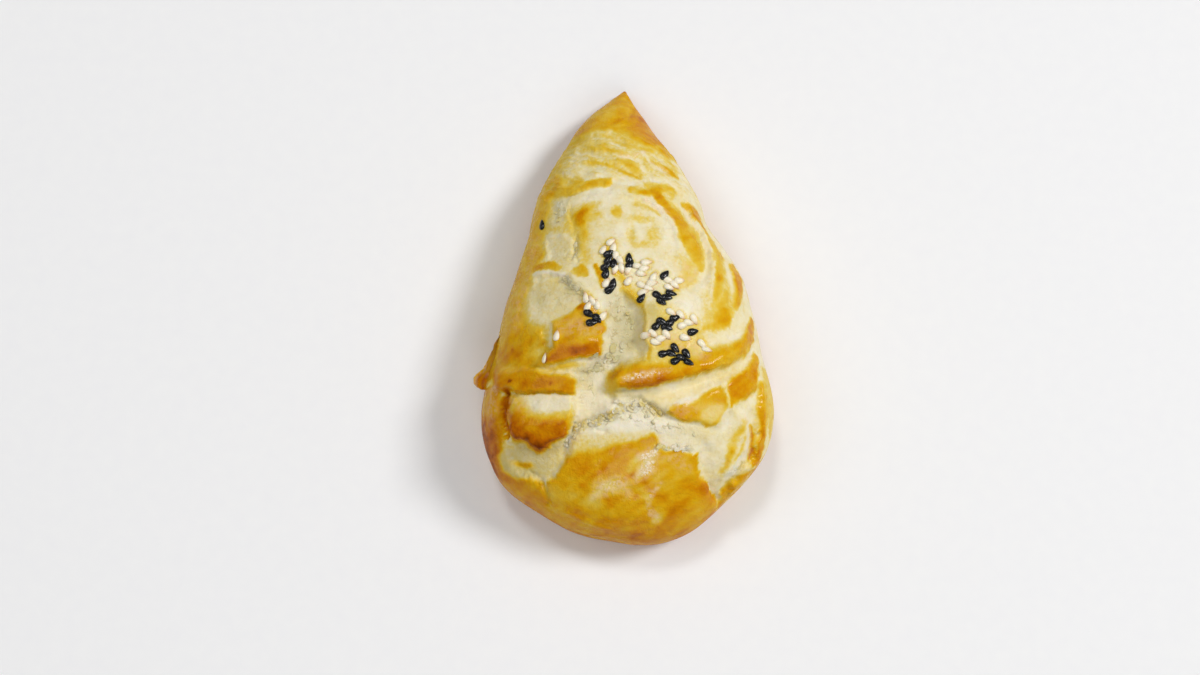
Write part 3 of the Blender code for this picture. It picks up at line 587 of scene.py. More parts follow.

# %% [markdown]
# ## Where the crust browned
# Egg wash was brushed on in strokes and browned in the oven, and where the top layer tore, pale
# dough shows. One number from 0, palest, to 1, darkest, says how far each point is baked. The
# tables go from broad areas to small marks, and each feature is painted over the ones before it.
# A few pale strokes and spots are painted highlights and a few dark ones painted shade, as marked.

# %% Browned areas
# Level of browning, then corners of the outline with the softness of the edge there
AREAS = {
    "wrinkled dough": (0.24, (
        (-14, 46, 1.5), (0, 46, 1.5), (10, 42, 1.5), (15, 38, 1.5), (14, 33, 1.5), (6, 31.5, 2),
        (-2, 31, 2), (-12, 33, 2), (-20, 36, 2))),
    "point": (0.55, (
        (-16, 46.5, 2.0), (-9, 47.6, 1.4), (-3.4, 48.4, 1.0), (-1, 46.6, 0.7), (1.6, 44.6, 0.7),
        (5, 43.4, 0.7), (9, 42.0, 0.8), (12.4, 40.2, 1.0), (16, 41, 1.0), (13, 49, 1.0),
        (7, 57, 1.0), (1, 70, 1.0), (-4, 66, 1.0), (-14, 54, 1.5))),
    "right side of the point": (0.68, (
        (1.6, 47.6, 1.6), (8, 44.8, 1.4), (13, 45, 1.5), (8, 54, 1.5), (4.5, 61, 1.0),
        (2.6, 57, 0.5), (1.4, 52, 1.2))),
    "upper left edge": (0.52, (
        (-24, 45, 1.5), (-19.5, 43, 1.5), (-18.5, 36, 1.8), (-15.4, 31.5, 2.4), (-13.6, 27, 1.6),
        (-19.4, 26, 2.0), (-20.6, 20, 2.2), (-21.4, 14, 2.0), (-21.4, 8.6, 1.4), (-24.2, 4.4, 1.4),
        (-24.8, 0.4, 1.6), (-26.0, -5, 2.0), (-25.2, -9.4, 2.2), (-20.8, -11.6, 2.2),
        (-20, -22, 1.5), (-42, -22, 1.5), (-38, 0, 1.5), (-33, 25, 1.5), (-27, 40, 1.5))),
    "high left patch": (0.52, (
        (-16, 31.6, 1.6), (-12.6, 32.4, 1.0), (-10.2, 30.8, 0.6), (-6.4, 30.9, 0.5), (-3.2, 30.9, 0.4),
        (-2.9, 29.2, 0.35), (-5.2, 28.3, 0.5), (-8.6, 27.8, 0.7), (-12, 27, 0.9), (-16, 26.4, 1.4))),
    "left windows": (0.21, (
        (-19.8, 14.0, 2.0), (-13.4, 14.0, 1.6), (-13.0, 7.0, 1.6), (-13.2, 1.0, 1.6), (-10.8, -3.6, 1.6),
        (-12.0, -7.4, 1.6), (-18.6, -9.4, 1.6), (-23.6, -8.8, 2.0), (-23.6, 1.6, 2.0), (-20.0, 4.0, 2.0))),
    "low left field": (0.56, (
        (-40, -12, 1.5), (-30, -11.5, 1.5), (-24, -12.5, 1.8), (-20.6, -15.6, 1.0), (-20.8, -21.4, 0.8),
        (-24, -22.6, 0.8), (-34, -23.5, 1.0), (-42, -24, 1.5))),
    "left wall": (0.62, (
        (-44, -24, 1.0), (-37.4, -24.5, 0.8), (-32.6, -25.6, 0.5), (-32.6, -31, 0.5), (-31.9, -39, 0.5),
        (-31.4, -43, 0.8), (-33, -49, 1.0), (-42, -46, 1.0))),
    "lower left rim": (0.70, (
        (-33.2, -43, 1.2), (-32.4, -46, 0.8), (-30, -48.6, 0.8), (-26.6, -49.4, 0.9), (-22.6, -53.4, 1.2),
        (-19, -58, 1.5), (-20, -64, 2), (-36, -60, 2), (-44, -44, 2))),
    "low left wall": (0.88, (
        (-44, -33, 3.0), (-36.4, -33.0, 2.6), (-34.0, -36, 1.8), (-33.4, -42, 1.4), (-33.0, -45, 2.0),
        (-36, -50, 3.5), (-44, -50, 3.5))),
    "shade of gold over the dome": (0.24, (
        (-15, -44.6, 0.6), (-14.4, -41.2, 0.8), (-10, -40, 1.2), (-4, -39.6, 1.4), (3, -38.8, 1.2),
        (9, -38.6, 0.8), (9.4, -43, 0.8))),
    "lower dome": (0.63, (
        (-15.4, -45.4, 1.0), (-12.4, -44.2, 1.3), (-7, -43.6, 1.3), (-3, -42.0, 1.0), (1, -41.4, 0.8),
        (4.6, -40.6, 0.7), (7.4, -39.4, 0.4), (8.2, -40.2, 0.35), (8.8, -42.2, 0.4), (10.6, -43.8, 0.4),
        (14, -43.2, 0.5), (17.6, -44.3, 0.35), (18.7, -43.7, 0.35), (18.9, -45.8, 0.35),
        (19.3, -48.4, 0.35), (19.9, -50.4, 0.35), (21.6, -51.4, 0.35), (23.0, -53.0, 0.35),
        (24.4, -54.2, 0.35), (26, -60, 0.6), (18, -66, 1), (8, -70, 1), (-6, -69, 1),
        (-18, -66, 1), (-19.6, -57, 0.6), (-20.0, -53.2, 0.4), (-20.3, -51.0, 0.4),
        (-17.6, -49.6, 0.5), (-16.0, -47.2, 0.6))),
    "left of the lower dome": (0.56, (
        (-20, -51.4, 0.8), (-15, -50, 2.0), (-10, -52, 2.0), (-10.6, -57, 2.0), (-14, -61, 2.0),
        (-20, -60, 1.2))),
    "right of the lower dome": (0.56, (
        (8.4, -43.6, 0.8), (18.2, -45.0, 0.8), (18.8, -48.6, 1.2), (15.6, -51, 1.6), (12, -55, 1.8),
        (7.6, -54, 1.2), (5.2, -50, 1.0), (6.8, -46, 0.8))),
    "low left of the dome": (0.66, (
        (-27.4, -49.6, 0.7), (-24.6, -49.6, 0.5), (-21.0, -51.4, 0.4), (-20.5, -53.4, 0.4),
        (-19.8, -57, 0.6), (-24, -58, 1.5), (-28, -53, 1.5))),
    "lower left window": (0.25, (
        (-31.8, -41.0, 0.8), (-28.4, -40.2, 0.6), (-25.0, -41.2, 0.5), (-21.4, -44.0, 0.5),
        (-18.6, -42.2, 0.6), (-15.8, -40.6, 1.2), (-15.6, -44.6, 1.2), (-17.0, -47.6, 1.0),
        (-18.8, -49.8, 0.8), (-22.0, -50.0, 0.8), (-25.0, -48.8, 1.0), (-29.6, -47.2, 1.2))),
    "right field": (0.33, (
        (23.4, 10, 0.8), (26.6, 10, 0.7), (27.2, 6, 0.8), (27.6, 1, 1.0), (28.4, -4, 1.2),
        (29.6, -8, 1.4), (28, -11.6, 1.6), (24, -13, 1.8), (20.4, -12.6, 1.8), (20.8, -7, 1.8),
        (21.4, -2, 1.6), (23, 3, 1.2))),
    "patch above the ridge": (0.62, (
        (23.6, -9.0, 1.8), (24.2, -7.0, 1.8), (25.4, -5.4, 1.4), (27.2, -5.8, 1.6), (28.0, -8.4, 1.2),
        (26.6, -10.2, 1.6), (24.8, -11.0, 1.4))),
    "under the seeds": (0.27, (
        (5.0, -6.4, 1.0), (10, -5.6, 2.0), (13, -9, 2.0), (19, -13, 1.8), (23.4, -17, 1.4),
        (22, -20, 1.0), (12, -21.6, 1.0), (6.2, -20.6, 0.6), (6.0, -17.6, 0.4), (5.2, -16.8, 0.4))),
    "upper left flap": (0.60, (
        (-18.8, -10.4, 0.5), (-15.8, -9.2, 0.8), (-12.4, -7.6, 0.7), (-9, -5.6, 0.6), (-6.4, -8, 0.8),
        (-4.9, -12.4, 0.8), (-5.5, -14.4, 0.35), (-6.0, -19.8, 0.3), (-12, -20.4, 0.3),
        (-16, -21.2, 0.35), (-20.2, -21.6, 0.35), (-20.3, -18.0, 0.3), (-18.7, -17.2, 0.35),
        (-18.8, -13, 0.35))),
    "lower half of the upper left flap": (0.76, (
        (-20.4, -17.4, 1.2), (-14, -16.8, 1.3), (-6.4, -16.2, 1.2), (-6.2, -19.4, 0.8),
        (-12, -19.8, 0.7), (-16, -20.4, 0.7), (-20.2, -20.8, 0.6))),
    "middle left flap": (0.64, (
        (-34.0, -21.6, 1.0), (-28, -22.2, 0.9), (-22.6, -22.6, 0.9), (-19.6, -23.4, 0.8),
        (-15.4, -24.6, 0.7), (-12.9, -25.6, 0.5), (-12.6, -29.7, 0.3), (-15.6, -29.6, 0.3),
        (-20.8, -29.0, 0.3), (-28.6, -28.7, 0.3), (-30.4, -27.4, 0.3), (-34.0, -26.4, 0.8))),
    "lower left flap": (0.11, (
        (-30.2, -29.0, 0.35), (-28.6, -28.9, 0.3), (-20, -29.3, 0.3), (-13.2, -30.0, 0.4),
        (-13.0, -34.6, 0.6), (-14.2, -38.4, 0.3), (-15.4, -39.8, 0.3), (-19.4, -41.3, 0.25),
        (-21.4, -43.1, 0.25), (-23.6, -41.7, 0.25), (-25.2, -40.2, 0.25), (-28.4, -39.9, 0.25),
        (-29.4, -38.4, 0.3), (-30.4, -33.0, 0.3))),
    "left edge of the lower left flap": (0.46, (
        (-30.4, -28.9, 0.4), (-28.8, -28.8, 0.9), (-26.0, -30.0, 2.0), (-24.6, -33.4, 2.0),
        (-30.4, -34.0, 0.5))),
    "gold over the brown of the lower left flap": (0.50, (
        (-30.4, -31.0, 1.4), (-26.0, -33.0, 1.6), (-20.0, -34.2, 1.2), (-13.2, -34.0, 0.9),
        (-13.6, -36.4, 0.8), (-20.0, -37.0, 1.2), (-30.4, -35.0, 1.2))),
    "brown part of the lower left flap": (0.76, (
        (-30.4, -33.0, 1.0), (-28, -33.6, 1.2), (-25.0, -35.0, 1.1), (-21.4, -35.8, 1.0),
        (-17, -36.0, 0.9), (-13.8, -36.6, 0.7), (-14.2, -38.0, 0.35), (-15.2, -39.8, 0.3),
        (-19.4, -41.4, 0.25), (-21.4, -43.2, 0.25), (-23.6, -41.8, 0.25), (-25.2, -40.3, 0.25),
        (-28.4, -40.0, 0.25), (-29.4, -38.4, 0.3))),
    "left part of the lower right flap": (0.54, (
        (11.2, -32.8, 0.35), (13.4, -32.0, 0.4), (16.4, -32.0, 0.5), (18.8, -30.8, 0.6),
        (20.4, -29.2, 0.6), (22.8, -27.9, 0.5), (24.6, -26.8, 0.35), (25.8, -28.6, 0.35),
        (26.4, -30.8, 0.35), (26.0, -33.0, 0.5), (24.3, -35.6, 0.4), (22.4, -37.1, 0.35),
        (20.8, -37.4, 0.35), (18.9, -36.0, 0.5), (15.2, -36.1, 0.5), (12.0, -35.2, 0.35))),
    "round of the lower right flap": (0.32, (
        (19.6, -33.0, 0.9), (22, -31.6, 0.8), (25.8, -31.4, 0.7), (25.6, -33.6, 0.6), (24.0, -35.6, 0.6),
        (21.6, -36.8, 0.6), (19.8, -35.6, 0.8))),
    "right part of the lower right flap": (0.63, (
        (26.4, -26.8, 0.4), (28.4, -24.8, 0.6), (30.6, -22.8, 0.7), (32.6, -20.4, 0.7),
        (34.4, -16.8, 0.7), (35.6, -17.6, 0.6), (35.2, -22, 0.6), (34.6, -26.4, 0.6),
        (32.8, -28.6, 0.8), (30.4, -30.0, 0.8), (28.6, -31.2, 0.6), (27.0, -32.2, 0.5),
        (26.9, -29.6, 0.35))),
    "outer right wall": (0.42, (
        (36.4, -20, 0.8), (42, -20, 1), (42, -40, 1), (38.2, -42, 0.8), (37.4, -34, 0.6),
        (37.0, -26, 0.6))),
}

# %% Strokes and spots
# Softness left and right of the stroke in half widths, then x, y, half width and browning
STROKES = {
    "left of the point": ((0.8, 0.8), (
        (-15.5, 46.2, 1.5, 0.46), (-12, 45.4, 1.5, 0.44), (-10, 42.6, 1.0, 0.34))),
    "patch in the wrinkles": ((0.7, 0.7), ((-8.0, 43.4, 1.2, 0.40), (-5.4, 42.8, 1.5, 0.44))),
    "over the first wrinkle": ((0.8, 0.8), (
        (-3, 44.4, 0.8, 0.34), (2, 42.4, 0.9, 0.44), (8, 41.4, 0.7, 0.40))),
    "upper wrinkle": ((0.8, 0.8), ((-11, 42, 0.9, 0.36), (-3, 40.4, 0.9, 0.38), (3.4, 38.0, 0.7, 0.34))),
    "middle wrinkle": ((0.9, 1.0), (
        (-1.4, 37.0, 0.8, 0.38), (1.4, 36.0, 1.1, 0.52), (3.4, 34.0, 1.2, 0.50), (4.6, 31.8, 0.7, 0.38))),
    "lower wrinkle": ((0.8, 0.8), ((-9.6, 37, 0.8, 0.38), (-3, 35.2, 0.7, 0.40), (3.6, 31.4, 0.6, 0.44))),
    "right wrinkle": ((0.9, 0.8), (
        (6.4, 37.6, 0.6, 0.36), (10.4, 36.2, 0.8, 0.44), (12.8, 34.8, 1.1, 0.66), (14.6, 33.6, 0.6, 0.48))),
    "far right wrinkle": ((0.9, 0.9), ((12, 39.4, 0.8, 0.40), (14.6, 36.0, 0.7, 0.34))),
    # Painted highlights on the wrinkles, where the glaze glints
    "painted highlight between the wrinkles": ((0.8, 0.8), (
        (-2.6, 39.0, 0.3, 0.16), (0.4, 38.4, 0.4, 0.10), (4.2, 37.0, 0.4, 0.14), (6, 34, 0.7, 0.16))),
    # Painted highlights by the right wrinkle
    "painted highlight by the right wrinkle": ((0.8, 0.8), (
        (5.0, 40.4, 0.5, 0.12), (7.4, 36.6, 0.4, 0.14), (11.4, 34.4, 0.4, 0.12))),
    "top of the deep brown patch": ((1.0, 1.1), (
        (-6.8, 23.2, 1.0, 0.34), (-9.4, 21.6, 1.8, 0.48), (-11.6, 19.0, 2.4, 0.58),
        (-12.0, 16.0, 1.8, 0.50))),
    "right of the deep brown patch": ((0.9, 0.9), ((-9.4, 19.0, 1.4, 0.46), (-6.6, 19.4, 1.1, 0.34))),
    "deep brown patch": ((0.9, 0.9), (
        (-10.4, 21.2, 0.9, 0.66), (-11.6, 19.0, 1.4, 0.77), (-11.6, 16.6, 1.0, 0.66))),
    "olive gold strip": ((1.1, 1.1), (
        (-10.8, 14.6, 1.4, 0.44), (-10.8, 10, 1.9, 0.38), (-10.2, 6.6, 1.5, 0.34))),
    "left of the deep brown patch": ((1.2, 1.2), (
        (-14.8, 21.0, 1.4, 0.30), (-14.2, 17.6, 1.6, 0.38), (-13.0, 14.0, 1.0, 0.32))),
    "between the left windows": ((0.9, 0.9), (
        (-21.0, 17.4, 1.2, 0.38), (-17.0, 16.6, 1.3, 0.28), (-13.6, 16.0, 1.6, 0.36))),
    "loop": ((0.4, 0.5), (
        (-24.4, 5.8, 1.0, 0.54), (-21.6, 6.0, 1.1, 0.64), (-18.8, 5.9, 1.2, 0.58), (-17.6, 4.8, 0.9, 0.52))),
    "light under the loop": ((0.6, 0.8), (
        (-23.8, 4.2, 0.5, 0.12), (-19.6, 3.9, 0.5, 0.08), (-16.0, 2.6, 0.6, 0.05))),
    "yellow patch": ((0.35, 0.4), (
        (-12.6, 3.4, 1.1, 0.44), (-11.2, 3.5, 1.7, 0.52), (-10.2, 2.6, 1.0, 0.46))),
    "dimple by the seeds": ((0.3, 0.9), (
        (-7.3, 4.6, 0.5, 0.60), (-6.2, 1.8, 0.9, 0.70), (-5.8, -1.2, 0.6, 0.60))),
    "between the seeds": ((0.8, 0.8), (
        (-4.6, 8.6, 0.8, 0.44), (-2.0, 3.0, 1.2, 0.48), (0.6, -1.6, 1.0, 0.42))),
    # Painted shade where the skin dips into the hollow
    "painted shade at the edge of the hollow": ((0.9, 0.9), (
        (-0.4, -1.8, 0.9, 0.40), (1.8, -3.8, 1.3, 0.50), (4.0, -6.0, 1.0, 0.46))),
    # Painted shade along the right cliff of the hollow
    "painted shade on the right cliff of the hollow": ((0.9, 0.5), (
        (4.6, -6.6, 0.4, 0.46), (5.2, -9, 0.4, 0.40), (5.0, -15.8, 0.45, 0.36), (6.2, -17.0, 0.4, 0.42),
        (6.2, -20.6, 0.5, 0.44))),
    "gold of the swirl": ((0.8, 0.8), (
        (1.8, 18.0, 0.9, 0.29), (4.5, 18.2, 1.1, 0.33), (7.2, 17.8, 0.9, 0.29))),
    "arc in the swirl": ((0.8, 0.8), (
        (3.4, 23.2, 0.9, 0.34), (6.6, 21.8, 0.9, 0.30), (9.4, 19.8, 0.7, 0.36))),
    # Painted highlight in the swirl
    "painted highlight of the swirl": ((0.8, 0.8), (
        (3.2, 16.3, 0.4, 0.12), (5.4, 15.9, 0.5, 0.10), (6.8, 16.4, 0.4, 0.12))),
    "head of the winding, left": ((0.6, 0.6), (
        (2.2, 27.4, 1.1, 0.44), (4.6, 27.0, 1.2, 0.50), (7.0, 27.0, 1.2, 0.52))),
    "head of the winding, right": ((0.5, 0.6), (
        (6.6, 29.6, 1.2, 0.42), (8.6, 28.4, 1.6, 0.52), (11.2, 28.4, 1.5, 0.48), (12.9, 27.8, 1.3, 0.46),
        (12.9, 25.8, 0.7, 0.42))),
    "winding": ((0.8, 0.3), (
        (8.8, 27.2, 1.4, 0.62), (10.8, 23.9, 1.5, 0.62), (13.4, 20.6, 1.6, 0.58), (15.6, 17.2, 1.9, 0.56),
        (17.6, 13.6, 2.7, 0.54), (18.8, 10, 2.5, 0.52), (19.6, 6.8, 1.6, 0.52), (20.2, 4.2, 0.7, 0.48))),
    "core of the winding": ((0.9, 0.9), (
        (9.2, 26.0, 0.8, 0.70), (11.6, 22.6, 0.8, 0.66), (13.8, 19.6, 0.7, 0.62))),
    # Painted highlight along the inner edge of the winding
    "painted highlight on the edge of the winding": ((0.9, 0.9), (
        (5.0, 25.2, 0.3, 0.16), (7.4, 24.4, 0.35, 0.12), (10.2, 21.6, 0.35, 0.12), (12.4, 18.4, 0.35, 0.12),
        (13.6, 15.4, 0.3, 0.16))),
    "inside the winding": ((1.0, 1.0), (
        (14.6, 6.6, 1.6, 0.28), (17.2, 4.4, 2.4, 0.38), (16.4, 1.2, 2.2, 0.36), (13.6, -1.2, 1.2, 0.28))),
    "outer winding, head": ((0.5, 0.4), (
        (16.4, 24.2, 1.2, 0.54), (18.2, 23.4, 1.7, 0.60), (19.5, 21.8, 1.2, 0.68), (20.4, 20.4, 0.7, 0.66))),
    "outer winding": ((0.5, 0.6), (
        (20.6, 20.2, 0.5, 0.62), (22.6, 16.6, 0.6, 0.56), (24.4, 13, 0.8, 0.50), (25.8, 9.6, 1.2, 0.50))),
    "light inside the outer winding": ((0.9, 0.9), (
        (17.0, 21.4, 0.6, 0.10), (19.8, 18.4, 0.7, 0.08), (21.8, 14.0, 0.7, 0.14), (22.6, 9.0, 0.8, 0.17),
        (22.2, 4.0, 0.9, 0.14), (20.2, -0.4, 1.1, 0.10), (16.6, -3.4, 1.2, 0.12))),
    "gold of the outer band": ((0.9, 1.0), (
        (25.8, 8.6, 0.7, 0.46), (25.2, 5.4, 1.0, 0.54), (25.2, 2.4, 0.9, 0.60), (24.4, -1.0, 0.8, 0.44),
        (23.6, -5.0, 0.7, 0.38))),
    "thin gold of the outer band": ((1.0, 1.0), (
        (27.2, -0.6, 0.5, 0.42), (26.8, -3.4, 0.7, 0.50), (25.2, -6.0, 0.8, 0.56))),
    "low gold of the right field": ((1.0, 1.0), (
        (26.4, -9.4, 1.0, 0.60), (23.8, -11.2, 0.9, 0.50), (20.6, -12.6, 0.7, 0.40))),
    "light streaks of the right field": ((1.0, 1.0), (
        (24.0, 7.4, 0.4, 0.18), (23.4, 3.0, 0.4, 0.16), (22.6, -2.0, 0.6, 0.20), (22.4, -6.6, 0.5, 0.22))),
    "right edge": ((0.5, 0.8), (
        (29.4, 7.6, 0.8, 0.56), (30.6, 4.6, 1.2, 0.66), (30.8, 1.4, 1.3, 0.68), (30.2, -2.2, 1.2, 0.64),
        (29.2, -5.0, 0.8, 0.52))),
    "light right of the field": ((0.9, 0.9), (
        (30.4, -6.0, 0.8, 0.16), (28.6, -11.6, 1.0, 0.14), (24.6, -14.6, 1.1, 0.13),
        (21.6, -16.4, 0.8, 0.14))),
    "above the ridge": ((0.5, 0.9), (
        (34.4, -6.4, 0.5, 0.56), (33.6, -11.0, 0.9, 0.68), (31.4, -14.8, 1.2, 0.70), (28.2, -17.2, 1.6, 0.64),
        (24.4, -19.2, 1.9, 0.60), (20.6, -20.6, 1.6, 0.54))),
    "glazed ridge": ((0.7, 0.35), (
        (-1.4, -25.6, 2.2, 0.52), (3, -25.0, 3.0, 0.64), (9, -24.2, 3.0, 0.66), (15, -22.8, 2.4, 0.60),
        (20, -21.6, 2.3, 0.58), (26, -19.4, 2.2, 0.54), (30.6, -16.6, 1.7, 0.56), (33.4, -12.6, 1.2, 0.58))),
    "front of the glazed ridge": ((0.9, 0.4), (
        (-0.6, -27.0, 0.9, 0.72), (3, -27.0, 1.3, 0.79), (7.6, -26.4, 1.2, 0.79), (12.6, -25.0, 0.9, 0.68),
        (18, -23.4, 0.8, 0.62), (27, -20.2, 0.7, 0.58))),
    # Gold of the ridge's left end, darkened by painted shade below it
    "left end of the ridge with painted shade": ((1.0, 1.0), (
        (-3.2, -28.4, 1.6, 0.48), (-2.4, -25.6, 1.9, 0.64), (-1.0, -23.6, 1.3, 0.56))),
    "left end of the lower right flap": ((0.7, 0.7), (
        (11.8, -34.2, 0.9, 0.64), (14.4, -34.6, 1.1, 0.62), (17.2, -34.2, 1.2, 0.60))),
    # Painted highlight along the top edge of the lower right flap
    "painted highlight on the edge of the lower right flap": ((0.8, 0.8), (
        (12.6, -31.9, 0.35, 0.06), (15.6, -31.3, 0.45, 0.0), (18.4, -30.2, 0.35, 0.06))),
    "crease of the lower right flap": ((0.9, 0.9), (
        (25.2, -26.8, 0.35, 0.30), (26.6, -28.8, 0.4, 0.26), (26.7, -32, 0.35, 0.30))),
    "dark of the lower right flap": ((0.9, 0.9), ((28.6, -25.6, 1.3, 0.68), (28.6, -28.4, 1.1, 0.66))),
    "dark by the right rim": ((0.8, 0.9), ((34.4, -20, 0.8, 0.66), (33.4, -24.4, 1.1, 0.72))),
    "stroke right of the dome": ((1.0, 1.0), (
        (31, -35.4, 0.8, 0.34), (30.2, -37.6, 1.1, 0.42), (28.6, -39.8, 0.9, 0.34))),
    "low stroke right of the dome": ((0.9, 1.0), (
        (28.6, -40.4, 1.0, 0.40), (27.8, -43.2, 1.2, 0.46), (26.6, -46, 0.9, 0.47),
        (25.0, -48.4, 0.7, 0.38))),
    "thin stroke right of the dome": ((1.0, 1.0), (
        (31.4, -39.4, 0.5, 0.34), (30.6, -42.4, 0.5, 0.38), (28.6, -45.6, 0.4, 0.34))),
    "line inside the rim": ((0.9, 0.8), (
        (33.2, -36.6, 0.5, 0.60), (33.8, -39.6, 0.6, 0.72), (33.6, -42.4, 0.7, 0.74),
        (32.8, -44.4, 0.5, 0.68))),
    "gold of the rim": ((0.6, 0.7), (
        (36.0, -25.6, 1.1, 0.52), (36.2, -30.0, 1.3, 0.60), (36.0, -35.6, 1.4, 0.65),
        (35.8, -40.4, 1.4, 0.67),
        (35.2, -43.8, 1.4, 0.70), (34.2, -45.6, 0.9, 0.66))),
    # Painted highlight along the rim
    "painted highlight stripe of the rim": ((0.8, 0.8), (
        (33.8, -31.6, 0.5, 0.20), (34.8, -35.4, 0.5, 0.22), (35.0, -39.0, 0.4, 0.30),
        (34.7, -42.4, 0.3, 0.34))),
    "light outside the rim": ((0.8, 0.8), (
        (38.2, -34, 0.5, 0.30), (38.2, -39.0, 0.6, 0.16), (36.8, -44.4, 0.5, 0.18))),
    "lower right tongue": ((0.6, 0.6), (
        (35.8, -46.0, 1.0, 0.54), (32.4, -48.4, 1.4, 0.62), (29.4, -50.8, 1.8, 0.60),
        (27.4, -53.4, 1.8, 0.62),
        (26.6, -56.0, 1.2, 0.66))),
    "fold over the tongue": ((0.7, 0.7), (
        (34.6, -46.2, 0.4, 0.24), (31.4, -47.6, 0.4, 0.30), (28.0, -49.4, 0.4, 0.28))),
    # Pale crumbling on the dome, which also stands in as painted highlight where the glaze glints
    "crumbling of the dome": ((0.9, 0.9), (
        (8.0, -43.2, 0.9, 0.36), (6.6, -45.2, 1.3, 0.30), (5.0, -47.4, 1.2, 0.36), (3.4, -49.8, 1.0, 0.42))),
    "left of the crumbling": ((0.9, 0.9), (
        (4.6, -43.4, 0.8, 0.40), (3.2, -46.4, 1.0, 0.36), (0.8, -48.6, 0.7, 0.44))),
    "under edge": ((0.8, 0.8), (
        (-14, -61.6, 1.0, 0.68), (-4, -64.0, 1.1, 0.70), (6, -65.0, 1.2, 0.70), (16, -62.0, 1.2, 0.72))),
    # Dark brown in the gap beside the lower left flap, partly painted shade in the recess
    "painted shade in the gap by the lower left flap": ((0.5, 0.5), (
        (-30.8, -27.6, 1.0, 0.86), (-31.2, -30, 1.3, 0.84), (-31.2, -34, 1.1, 0.85),
        (-30.7, -39.4, 0.5, 0.78))),
    "olive edge of the lower left window": ((1.0, 1.0), (
        (-32.0, -43.6, 0.7, 0.34), (-30.6, -46.4, 1.2, 0.31), (-27.4, -48.2, 1.2, 0.31),
        (-23.4, -49.4, 0.9, 0.30))),
    "olive left of the wrinkles": ((1.0, 1.0), (
        (-14.6, 46.6, 1.2, 0.44), (-16.6, 42.0, 1.8, 0.40), (-18.6, 37.0, 2.0, 0.40),
        (-20.4, 31.6, 1.6, 0.46))),
    "yellow under the point": ((1.0, 1.0), (
        (-12.6, 46.6, 1.4, 0.40), (-7.0, 46.2, 1.8, 0.32), (-1.6, 45.4, 1.6, 0.32), (4.4, 42.6, 1.2, 0.34))),
    "lower edge of the lower left flap": ((1.5, 0.9), (
        (-29.6, -37.2, 0.6, 0.82), (-28.2, -39.2, 1.3, 0.89), (-25.2, -39.6, 1.4, 0.91),
        (-23.6, -41.0, 1.3, 0.92), (-21.4, -42.6, 1.2, 0.94), (-19.2, -41.0, 0.9, 0.87),
        (-15.4, -39.5, 0.6, 0.80))),
    "white of the torn edge": ((1.2, 1.2), (
        (-9.0, -38.4, 0.8, 0.06), (-3.0, -37.4, 1.3, 0.02), (3.0, -37.0, 1.8, 0.02),
        (10.0, -37.6, 1.6, 0.05))),
    "right side of the lower left flap": ((1.0, 1.0), (
        (-13.8, -31.0, 0.5, 0.16), (-13.8, -34.6, 0.6, 0.34), (-14.4, -37.4, 0.5, 0.60))),
}
